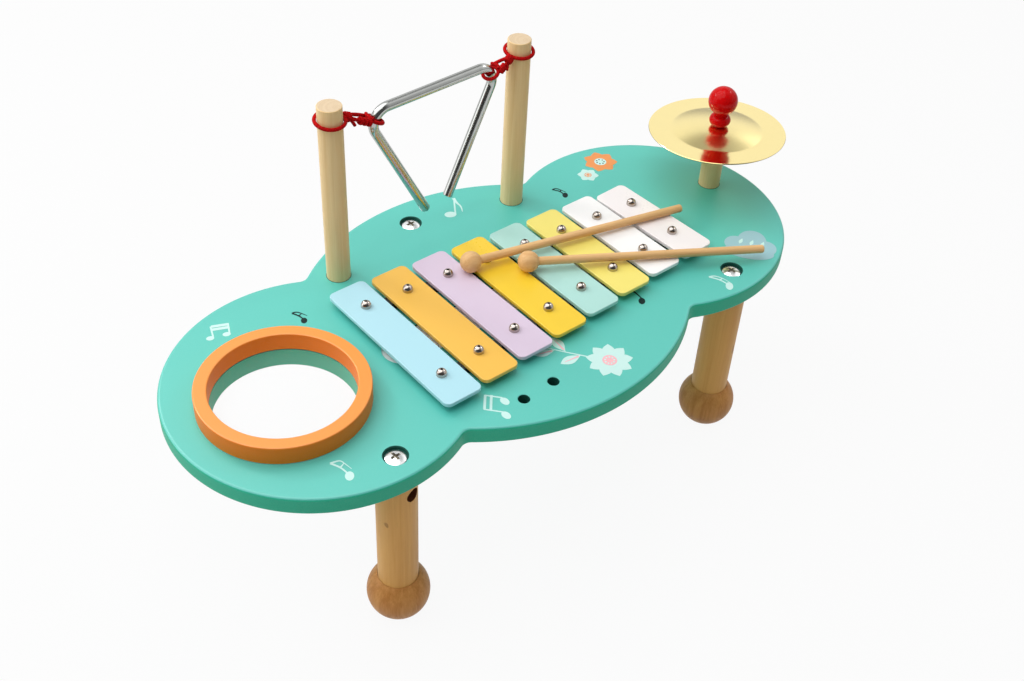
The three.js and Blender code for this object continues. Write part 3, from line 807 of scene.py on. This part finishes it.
triangleSet = {"rod": 4, "bend": 13, "width": 128.5, "drop": 129.5, "legs": (120.8, 118),
               "centre": (5.6, 91.5, 137.5), "lean": -1.3, "endRound": 0.7}


# The right leg's direction, and the right bend's centre and angle, in the triangle's own plane
def bendPlan(s):
    down = Vector((-s["width"] / 2, -s["drop"])).normalized()
    angle = pi - acos(-down.x)
    return down, Vector((s["width"] / 2 - s["bend"] * tan(angle / 2), -s["bend"])), angle


def makeTriangle(s):
    down, centre, angle = bendPlan(s)
    left, right = [Vector((s["width"] / 2, 0)) + down * leg for leg in s["legs"]]
    bendStart = centre + Vector((cos(pi / 2 - angle), sin(pi / 2 - angle))) * s["bend"]
    clear()
    bpy.ops.mesh.primitive_circle_add(vertices=32, radius=s["rod"] * 0.001, fill_type="NGON")
    rod = bpy.context.object
    rod.name = "triangleRod"
    edit(moved(rod, upright(*right), leaning(Vector((-down.x, 0, -down.y)))), "FACE")

    def along(first, second):
        extrude(upright(*second) - upright(*first))

    def bend(x, z):
        bpy.ops.mesh.spin(steps=20, angle=angle, center=upright(x, z), axis=(0, 1, 0))
    along(right, bendStart)
    bend(*centre)
    along((centre.x, 0), (-centre.x, 0))
    bend(-centre.x, centre.y)
    along((-bendStart.x, bendStart.y), (-left.x, left.y))
    done()
    tidyMesh(rod)
    roundEdges(rod, lambda a, b: max(a.z, b.z) * 1000 < right.y + s["rod"] + 0.5, s["endRound"], 3, 50)
    x, y, z = s["centre"]
    moved(rod, place(x, y, boardTop + z), Matrix.Rotation(radians(s["lean"]), 4, "Y"))
    fit(smooth(rod), chrome, "triangle", ["triangle"])


makeTriangle(triangleSet)
print("triangle made")


cordSet = {"radius": 1.45, "angle": 27, "reach": 7.1, "grip": 5.9, "wraps": (0.52, 0.68, 0.84),
           "turns": ((-0.4, 0.5), (0, 0.1), (0.35, -0.6)), "strandGap": 1.9, "tail": (-2.6, -2, -5.5)}
# Side, post, the loop's height and slope, and the knot's middle
cordLoops = {
    "left_cord_tie": (-1, "left_post", 142.2, 7, (-74, 90.2, 141.2)),
    "right_cord_tie": (1, "right_post", 142.8, 7, (75.2, 87, 140.8)),
}


# A smooth run of cord through points in mm above the board.
def cordRun(points, radius, closed=False):
    data = bpy.data.curves.new("cordRun", "CURVE")
    data.dimensions = "3D"
    data.bevel_depth = radius * 0.001
    data.bevel_resolution = 5
    data.use_fill_caps = not closed
    data.resolution_u = 8
    spline = data.splines.new("NURBS")
    spline.points.add(len(points) - 1)
    for point, target in zip(spline.points, points):
        point.co = (*place(target[0], target[1], boardTop + target[2]), 1)
    spline.order_u = 4
    spline.use_cyclic_u = closed
    spline.use_endpoint_u = not closed
    run = bpy.data.objects.new("cordRun", data)
    scene.collection.objects.link(run)
    only(run)
    bpy.ops.object.convert(target="MESH")
    return bpy.context.object


def ringPoints(centre, axisX, axisY, count):
    angles = [tau * i / count for i in range(count)]
    return [centre + axisX * cos(angle) + axisY * sin(angle) for angle in angles]


def makeTie(name, side, post, height, pitch, knot, s):
    r, knot, lift = s["radius"], Vector(knot), Vector((0, 0, s["radius"]))
    bendMiddle = bendPlan(triangleSet)[1]
    lean = Matrix.Rotation(radians(triangleSet["lean"]), 3, "Y")
    angle = radians(s["angle"])
    outward = Vector((side * cos(angle), 0, sin(angle)))
    hold = Vector((side * bendMiddle.x, 0, bendMiddle.y)) + outward * triangleSet["bend"]
    hold = lean @ hold + Vector(triangleSet["centre"])
    outward = lean @ outward
    reach = postSet["radius"] + 0.25 + r
    postLoop = ringPoints(Vector((*postSpots[post][:2], height)), Vector((reach * 1.035, 0, 0)),
                          Vector((0, reach * 1.035, reach * tan(radians(pitch)))), 16)
    rodLoop = ringPoints(hold, outward * s["grip"] * 1.04, Vector((0, s["reach"], 0)), 14)
    join, y = hold + outward * s["grip"], triangleSet["centre"][1]
    front = Vector((join.x, y - s["reach"] * 0.7, join.z))
    rear = Vector((join.x, y + s["reach"] * 0.66, join.z))
    tail = knot.lerp(front, 0.12) - lift
    fall = Vector((side * s["tail"][0], *s["tail"][1:]))
    runs = [
        cordRun(postLoop, r, True),
        cordRun(rodLoop, r, True),
        cordRun([knot, knot.lerp(front, 0.3) - lift * 1.3, knot.lerp(front, 0.7) - lift * 0.8, front], r),
        cordRun([knot + lift, knot.lerp(rear, 0.3) + lift * 1.4, knot.lerp(rear, 0.7) + lift, rear], r),
        cordRun([tail, tail + fall * 0.5 + Vector((0, -0.6, 0)), tail + fall], r * 0.9),
    ]
    around = outward.cross(Vector((0, 1, 0)))
    for shift in (-s["strandGap"], s["strandGap"]):
        first, top, last = [spot + around * shift for spot in (front, join + outward * 1.3, rear)]
        runs.append(cordRun([first, first.lerp(top, 0.6) + outward, top, last.lerp(top, 0.6) + outward,
                             last], r))
    toRod = (front - knot).normalized()

    def wind(middle, way, wide, high, thick):
        first = Vector(way).normalized() * wide
        other = toRod.cross(first).normalized() * high
        runs.append(cordRun(ringPoints(middle, first, other, 10), thick, True))
    for share, tip in s["turns"]:
        wind(knot + toRod * share * 4, (0, 1, tip), 2.4, 2.6, r)
    for share in s["wraps"]:
        wind(knot.lerp(front, share) - lift * 0.9, (side * 0.4, 1, 0.3), 2.1, 2.1, r * 0.9)
    tie = joined(*runs)
    tie.name = camel(name)
    bpy.ops.object.shade_smooth()
    fit(tie, cordRed, nodes=[name])


for name, values in cordLoops.items():
    makeTie(name, *values, cordSet)
print("cords made")


# Cymbal on its post
cymbalSet = {"centre": (246, 8.2, 54.4), "pinY": 7, "radius": 58.5, "dome": 39, "rise": 5, "sheet": 1,
             "hole": 3.6, "lean": (0.029, 0.061), "post": 9.2, "postHeight": 54, "dowel": 9.7,
             "bore": 2.3, "boreDepth": 22.3, "washer": (7, 3.4), "knobBase": 60.2, "collar": 9.1,
             "collarRound": 4.8, "neck": 6.8, "ball": (83.2, 12.4)}


def makeCymbalStand(s):
    spot = place(s["centre"][0], s["pinY"], boardTop)
    r, high, below, bore = s["post"], s["postHeight"], s["dowel"], s["bore"]
    post = turn("cymbalPost", (0, -below), [
        (r - 0.5, -below), (r, 0.5 - below), (r, high - 0.9), (r - 0.9, high - 0.9, 90, 5), (bore, high),
        (bore, high - s["boreDepth"]), (0, high - s["boreDepth"])], spot)
    fit(smooth(post), postPine, nodes=["cymbal_post"])
    makeShadeRing("cymbalPostSeat", spot, r)
    wide, thick = s["washer"]
    side = wide - 0.8
    washer = turn("cymbalWasher", (bore, high), [
        (side, high), (side, high + 0.8, 90, 4), (wide, high + thick - 0.8),
        (side, high + thick - 0.8, 90, 4), (bore, high + thick), (bore, high)], spot, 48)
    fit(smooth(washer), darkFelt, nodes=["cymbal_washer"])
    base, side, neck = s["knobBase"], s["collarRound"], s["neck"]
    inner = s["collar"] - side
    centre, ball = s["ball"]
    start = degrees(acos(neck / ball))
    knob = turn("cymbalKnob", (bore, base), [
        (inner, base), (inner, base + side, 160, 20), (neck, centre - sqrt(ball ** 2 - neck ** 2)),
        (0, centre, 90 + start, 32), (0, centre + 0.3), (bore, centre + 0.3), (bore, base)], spot)
    fit(smooth(knob, 40), redGloss, nodes=["cymbal_knob"])


# The sheet turns about a slightly leaning axis, so it is spun upright and then leaned.
def makeCymbal(s):
    dome, rise, sheet, wide = s["dome"], s["rise"], s["sheet"], s["radius"]
    ball = ballRadius(dome, rise)

    def skin(r):
        return sqrt(ball ** 2 - r ** 2) - ball + rise
    radii = [s["hole"] + (dome - 1.2 - s["hole"]) * i / 14 for i in range(15)]
    upper = [(r, skin(r)) for r in radii]
    upper += [(dome - 0.4, skin(dome - 1.2) * 0.5), (dome + 0.6, 0.03), (dome + 2, 0)]
    upper += [(dome + 2 + (wide - 0.3 - dome - 2) * i / 6, 0) for i in range(1, 7)]
    lower = [(r, z - sheet) for r, z in reversed(upper)]
    moves = [*upper[1:], (wide, -0.3), (wide, -0.7), *lower, upper[0]]
    cymbal = turn("cymbalSheet", upper[0], moves, steps=160)
    x, y, z = s["centre"]
    centre = place(x, y, boardTop + z)
    moved(cymbal, centre, leaning(Vector((*s["lean"], 1)).normalized()))
    fit(smooth(cymbal, 40, False), makeSpunGold("spunGold", centre), "cymbal", ["cymbal"])
    # The sheet's edge faces get the dark gold as painted shade.
    repaint(cymbal, paintedShadeEdgeGold, lambda face: abs(face.normal.z) < 0.6)


makeCymbalStand(cymbalSet)
makeCymbal(cymbalSet)
recolour(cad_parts["cymbal_pin"], zinc)
print("cymbal made")


# Legs: a round shaft with a cross hole for its barrel nut, a ball foot and a cross-headed bolt
legSet = {"radius": 15.2, "foot": 30, "ball": (23.7, 24), "nutTurns": (15, 110, 180), "nutDrop": 15,
          "nutHole": (5.6, 23.5), "bore": (3.3, 28.3), "bolt": (7.6, 2.4, 3, 36), "boltRim": 0.7,
          "recess": (4.9, 1.15, 2.3)}


def makeLeg(i, s):
    name, (x, y) = legNames[i], legSpots[i]
    r, high, axis = s["radius"], boardTop - boardSet["thickness"], place(x, y, 0)
    shaft = turn(camel(f"{name}_leg"), (0, s["foot"]), [
        (r - 0.3, s["foot"]), (r, s["foot"] + 0.3), (r, high - 0.4), (r - 0.4, high), (0, high)], axis, 80)
    radius, depth = s["nutHole"]
    swing = Matrix.Rotation(radians(s["nutTurns"][i]), 4, "Z") @ Matrix.Rotation(pi / 2, 4, "X")
    nutMiddle = place(x, y, high - s["nutDrop"])
    cross = turn("tool", (0, r + 2), [
        (radius + 2, r + 2), (radius + 0.4, r + 0.1), (radius, r - 0.3), (radius, r - depth), (0, r - depth)],
        steps=40)
    cutOut(shaft, moved(cross, nutMiddle, swing))
    cutOut(shaft, drill(s["bore"][0], high - s["bore"][1], high + 1, axis))
    fit(smooth(shaft), legPine, nodes=[f"{name}_leg"])
    back = (Matrix.Translation(nutMiddle) @ swing).inverted()

    # Faces inside the nut hole, which get the dark wood as painted shade
    def inShadedBore(face):
        out = (face.center - axis) * 1000
        across = (back @ face.center) * 1000
        return (hypot(out.x, out.y) < r - 0.15 and hypot(across.x, across.y) < radius + 0.4
                and out.z < high - 2)
    repaint(shaft, paintedShadeBoreWood, inShadedBore)
    centre, ball = s["ball"]
    socket = r + 0.3
    swept = degrees(asin(centre / ball) + asin(sqrt(ball ** 2 - socket ** 2) / ball))
    foot = turn(camel(f"{name}_foot"), (0, 0), [
        (sqrt(ball ** 2 - centre ** 2), 0), (0, centre, swept, 48), (socket, s["foot"] - 0.3),
        (0, s["foot"] - 0.3)], axis, 80)
    fit(smooth(foot, 40), footPine, nodes=[f"{name}_foot"])


def makeBolts(s):
    head, dome, shank, length = s["bolt"]
    rim = s["boltRim"]
    ball = ballRadius(head, dome - rim)
    swing = degrees(asin(head / ball))
    bolt = turn("boltPattern", (0, -length), [
        (shank - 0.4, -length), (shank, -length + 0.4), (shank, 0), (head - 0.2, 0), (head, 0.2), (head, rim),
        (0, dome - ball, swing, 14)], steps=56)
    reach, thick, deep = s["recess"]
    for spin in (0, 90):
        blade = cuboid((0, 0, (dome - deep / 2 + 0.5) * 0.001),
                       (reach * 0.002, thick * 0.002, (deep + 1) * 0.001))
        edit(blade)
        mesh = bmesh.from_edit_mesh(blade.data)
        for v in mesh.verts:
            v.select = v.co.z < dome * 0.0005 + 0.0004
        mesh.select_flush_mode()
        bpy.ops.transform.resize(value=(0.45, 0.7, 1), center_override=(0, 0, 0))
        done()
        blade.rotation_euler = (0, 0, radians(spin))
        cutOut(bolt, baked(blade))
    smooth(bolt)
    for i, name in enumerate(legNames):
        seat = place(*legSpots[i], boardTop - boardSet["counterbore"][1])
        twin = copied(bolt, camel(f"bolt_{name}"), seat)
        fit(twin, zinc, nodes=[f"{name}_bolt"])

        # Faces inside the cross recess, which get the darker zinc as painted shade
        def inShadedRecess(face):
            spot = (face.center - seat) * 1000
            out = hypot(spot.x, spot.y)
            crown = sqrt(ball ** 2 - min(out, head) ** 2) - ball + dome
            return out < reach and 0 < spot.z < crown - 0.12
        repaint(twin, paintedShadeRecessZinc, inShadedRecess)
        recolour(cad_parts[f"{name}_barrel_nut"], zinc)
    bpy.data.objects.remove(bolt)


for i in range(3):
    makeLeg(i, legSet)
makeBolts(legSet)
print("legs made")


# Printed notes and motifs, thin layers of ink on the board
printSet = {"thick": 0.06, "step": 0.02, "stroke": 1.1}
whiteInk = makePaint("whiteInk", (204, 240, 234), 0.45, 0.02)
blackInk = makePaint("blackInk", (2, 34, 33), 0.5, 0.02, specular=0.2)
orangeInk = makePaint("orangeInk", (238, 152, 84), 0.45, 0.02)
pinkInk = makePaint("pinkInk", (246, 190, 196), 0.45, 0.02)
greyInk = makePaint("greyBlueInk", (158, 200, 208), 0.45, 0.02)


# A shape of ink. Shapes that overlap lie on levels of their own.
def inkShape(points, level=0):
    low = boardTop + 0.01 + level * printSet["step"]
    return slab("ink", points[0], points[1:], low, low + printSet["thick"])


def inkOval(centre, long, short, angle=0, level=0):
    turned = Matrix.Rotation(radians(angle), 2)
    points = []
    for i in range(28):
        a = tau * i / 28
        points.append(tuple(Vector(centre) + turned @ Vector((long * cos(a), short * sin(a)))))
    return inkShape(points, level)


# A stroke through points, with its corners eased. Its width may be one number or one for each end.
def inkStroke(points, wide, level=0):
    points = [Vector(p) for p in points]
    for _ in range(2 if len(points) > 2 else 0):
        eased = [points[0]]
        for first, second in zip(points, points[1:]):
            eased += [first.lerp(second, 0.25), first.lerp(second, 0.75)]
        points = [*eased, points[-1]]
    begin, end = wide if isinstance(wide, tuple) else (wide, wide)
    left, right = [], []
    for i, point in enumerate(points):
        along = (points[min(i + 1, len(points) - 1)] - points[max(i - 1, 0)]).normalized()
        half = (begin + (end - begin) * i / (len(points) - 1)) / 2
        left.append(tuple(point + along.orthogonal() * half))
        right.append(tuple(point - along.orthogonal() * half))
    return inkShape([*left, *reversed(right)], level)


# A leaf or petal from one point to another, widest a little past its middle.
def inkLeaf(first, second, wide, level=0):
    first, second = Vector(first), Vector(second)
    side = (second - first).orthogonal().normalized() * wide / 2
    left, right = [], []
    for i in range(1, 14):
        share = i / 14
        swell = sin(pi * share ** 1.2)
        middle = first.lerp(second, share)
        left.append(tuple(middle + side * swell))
        right.append(tuple(middle - side * swell))
    return inkShape([tuple(first), *left, tuple(second), *reversed(right)], level)


def printed(name, ink, *pieces):
    fit(joined(*pieces) if len(pieces) > 1 else pieces[0], ink).name = name


# Notes with a ball head, a stem and two flags: head, its half sizes and turn, the stem,
# the outer flag on from the stem's end, and the inner flag
flaggedNotes = {
    "noteFront": (whiteInk, (-201.2, -90.3), (4.1, 3.1, 56),
        [(-200.9, -87.5), (-201.6, -80.2), (-205.1, -73)],
        [(-200.8, -73.9), (-198.2, -75.1), (-197.5, -78.8), (-196.5, -85.8)],
        [(-201.6, -80.2), (-197.6, -78.4)]),
    "noteRight": (whiteInk, (154.2, -104.1), (4.8, 3, 45),
        [(154.7, -101), (153.9, -94), (149.4, -86.1)],
        [(153.4, -87.5), (155.6, -90.7), (157.1, -94.5), (157.9, -101)],
        [(153.9, -94), (157, -94.2)]),
    "noteDrum": (blackInk, (-139.3, 61.6), (3.3, 2.4, 58),
        [(-138.9, 64), (-139.4, 68.5), (-142.1, 74.1)],
        [(-138.5, 73.7), (-136.2, 69.5), (-134.4, 64.8)],
        [(-139.4, 68.5), (-136.3, 69.8)]),
    "noteBack": (blackInk, (130.2, 67.8), (3.7, 2.4, 48),
        [(130.2, 70.4), (130.4, 74.7), (126.6, 80.7)],
        [(130.6, 80.2), (132.3, 75.4), (133.7, 70.8)],
        [(130.4, 74.7), (132.4, 75.6)]),
    "noteBars": (blackInk, (84.3, -75.6), (3.9, 2.7, 46),
        [(86.3, -74), (87.4, -66.8), (87, -57.5)],
        [(90.5, -59), (91.4, -63)],
        [(87.2, -61.5), (90.2, -62.8)]),
}
for name, (ink, head, size, stem, outer, inner) in flaggedNotes.items():
    stroke = printSet["stroke"]
    printed(name, ink, inkOval(head, *size), inkStroke(stem, (stroke, stroke * 1.5), 1),
            inkStroke([stem[-1], *outer], (stroke * 1.5, 0.4), 2), inkStroke(inner, (stroke * 1.2, 0.6), 3))

# Pairs of notes under double beams: head sizes and turn, beam width, heads, stems, beams
notePairs = {
    "notePairLeft": ((3, 2.3, -20), 2.8, [(-205.7, 85.8), (-193.7, 82.6)],
        [[(-203.1, 86), (-199, 97.2)], [(-191.3, 82.6), (-186.9, 92.3)]],
        [[(-198.8, 96.8), (-186.5, 91.6)], [(-200.1, 93.5), (-187.9, 88.4)]]),
    "notePairFront": ((4.1, 2.9, 90), 1.9, [(-73, -97.6), (-81.2, -109.1)],
        [[(-80.8, -84.1), (-72.2, -93.8)], [(-90.2, -94.8), (-81, -105.3)]],
        [[(-80.2, -84.2), (-89.8, -95.3)], [(-76.8, -87), (-86.5, -98.4)]]),
}
for name, (size, beam, heads, stems, beams) in notePairs.items():
    printed(name, whiteInk, *[inkOval(head, *size) for head in heads],
            *[inkStroke(stem, 1.3, 1) for stem in stems], *[inkStroke(line, beam, 2) for line in beams])

# One note with a single flag
printed("noteTriangle", whiteInk, inkOval((32.9, 103.8), 5.1, 3.9, -27),
        inkStroke([(37.2, 102.6), (49.5, 120.7)], 1.4, 1),
        inkStroke([(49.3, 121), (47.3, 113.8), (47.5, 108.1), (43.6, 101.1)], (3, 0.5), 2))


# A flower: petals round a heart, with a ring of dots on it
def makeFlower(name, centre, petals, reach, wide, petalInk, heart, heartInk, dotInk):
    leaves, dots = [], []
    for i in range(petals):
        angle = tau * (i + 0.3) / petals
        along = Vector((cos(angle), sin(angle)))
        level = 3 if i == petals - 1 and petals % 3 == 1 else i % 3
        base, tip, dot = [Vector(centre) + along * out for out in (heart * 0.4, reach, heart * 0.62)]
        leaves.append(inkLeaf(base, tip, wide, level))
        dots.append(inkOval(dot, 0.7, 0.7, 0, 5))
    printed(f"{name}Petals", petalInk, *leaves)
    printed(f"{name}Heart", heartInk, inkOval(centre, heart, heart, 0, 4))
    printed(f"{name}Dots", dotInk, *dots)


makeFlower("frontFlower", (17, -111), 9, 18, 9.5, whiteInk, 5.6, pinkInk, whiteInk)
makeFlower("backFlower", (190, 88), 7, 15.5, 10.5, orangeInk, 5.4, whiteInk, blackInk)
makeFlower("smallFlower", (167, 79), 6, 9.5, 7, whiteInk, 3.2, orangeInk, whiteInk)

# A sprig that leads to the front flower, its leaves with pink midribs
sprigLeaves = [((3.5, -94), (-15, -92), 8.5), ((-3, -84), (-1, -66), 8.5), ((-8.5, -78), (-25, -73), 7.5)]
sprigRibs = [[Vector(base).lerp(Vector(tip), share) for share in (0.12, 0.8)] for base, tip, _ in sprigLeaves]
printed("sprig", whiteInk, inkStroke([(10, -103), (2, -92), (-6, -81), (-16, -66)], (1.4, 0.7), 3),
        *[inkLeaf(*leaf, 1) for leaf in sprigLeaves], inkLeaf((-15, -67.5), (-22, -58), 5.5, 1))
printed("sprigRibs", pinkInk, *[inkStroke(rib, (1.7, 0.4), 2) for rib in sprigRibs])

# A cloud with three drops, turned to face the front. Each lump has its place and half sizes.
cloudTurn = -51.7
lumps = [(-12, 1, 9.5, 10), (1, 8, 12, 14), (13, 0, 9, 10), (0, -8, 20.5, 10)]


def onCloud(across, up):
    return Vector((207, -78)) + Matrix.Rotation(radians(cloudTurn), 2) @ Vector((across, up))


printed("cloud", greyInk, *[inkOval(onCloud(across, up), wide, high, cloudTurn, i)
                            for i, (across, up, wide, high) in enumerate(lumps)])
printed("drops", whiteInk, *[inkLeaf(onCloud(x, 9), onCloud(x - 2, 1), 3, 4) for x in (-7, 2, 11)])
print("prints made")


# Floor, backdrop and light
stageSet = {
    "floor": 6,
    "floorTone": 0.62,
    "whiteShare": 0.93,
    "skyLow": 0.12,
    "skyHigh": 0.5,
    "horizon": 0.45,
    "room": ((-0.6, -0.7, 0.35), 0.2, 0.65, 0.1),
    "ceiling": ((0.45, 0.355, 0.82), 0.93, 0.955, 0.42),
    "window": ((0.75, 0.2, 0.63), 0.955, 0.985, 1.5),
    "lamps": [("softbox", 35, 2.4, (-0.6, 0.45, 1.9)), ("sideLight", 4, 0.9, (-1.3, 0.9, 0.5)),
              ("leftSpark", 3, 0.2, (-0.46, 1.09, 0.99)), ("rightSpark", 2, 0.2, (1.29, -0.23, 1.3))],
}


def makeStage(s):
    clear()
    bpy.ops.mesh.primitive_plane_add(size=s["floor"], location=(0, 0, -0.0002))
    floor = bpy.context.object
    floor.name = "floor"
    material, tree, shader, _ = newMaterial("paleFloor")
    setShader(tree, shader, colour=(*[s["floorTone"]] * 3, 1), roughness=0.9)
    glow = addNode(tree, "Emission", Color=(1, 1, 1, 1), Strength=1)
    rays = addNode(tree, "LightPath").outputs
    seen = mathNode(tree, "ADD", rays["Is Camera Ray"], rays["Is Glossy Ray"], True)
    seen = mathNode(tree, "ADD", seen, rays["Is Transmission Ray"], True)
    mix = addNode(tree, "MixShader")
    shares = (mathNode(tree, "MULTIPLY", seen, s["whiteShare"]), shader.outputs[0], glow.outputs[0])
    for socket, value in zip(mix.inputs, shares):
        feed(tree, socket, value)
    feed(tree, tree.nodes["Material Output"].inputs["Surface"], mix.outputs[0])
    floor.data.materials.append(material)
    makeSky(s)
    for name, power, size, spot in s["lamps"]:
        lamp = bpy.data.lights.new(name, "AREA")
        lamp.energy = power
        lamp.size = size
        box = bpy.data.objects.new(name, lamp)
        box.location = spot
        box.rotation_mode = "QUATERNION"
        box.rotation_quaternion = (Vector((0, 0, 0.1)) - box.location).to_track_quat("-Z", "Y")
        scene.collection.objects.link(box)


def makeSky(s):
    world = bpy.data.worlds.new("studio")
    scene.world = world
    world.use_nodes = True
    tree = world.node_tree
    rays = addNode(tree, "LightPath").outputs
    way = addNode(tree, "TexCoord").outputs["Generated"]
    height = addNode(tree, "SeparateXYZ", Vector=way).outputs["Z"]
    sky = spread(tree, height, 0, 1, s["skyLow"], s["skyHigh"])
    # polished parts see the white sweep behind the table, a window, a darker ceiling and the dark room
    mirrored = spread(tree, height, 0.03, 0.3, s["horizon"], 1)
    for label in ("room", "ceiling", "window"):
        towards, begin, full, level = s[label]
        near = addNode(tree, "VectorMath", operation="DOT_PRODUCT", Vector=way)
        near.inputs[1].default_value = Vector(towards).normalized()
        share = spread(tree, near.outputs["Value"], begin, full, 1, level)
        mirrored = mathNode(tree, "MULTIPLY", mirrored, share)
    clearView = mathNode(tree, "ADD", rays["Is Camera Ray"], rays["Is Transmission Ray"], True)
    sky = mixed(tree, clearView, sky, 1, "FLOAT")
    sky = mixed(tree, rays["Is Glossy Ray"], sky, mirrored, "FLOAT")
    feed(tree, tree.nodes["Background"].inputs["Color"], (1, 1, 1, 1))
    feed(tree, tree.nodes["Background"].inputs["Strength"], sky)


makeStage(stageSet)
scene.view_settings.view_transform = "Standard"


print("stage set")
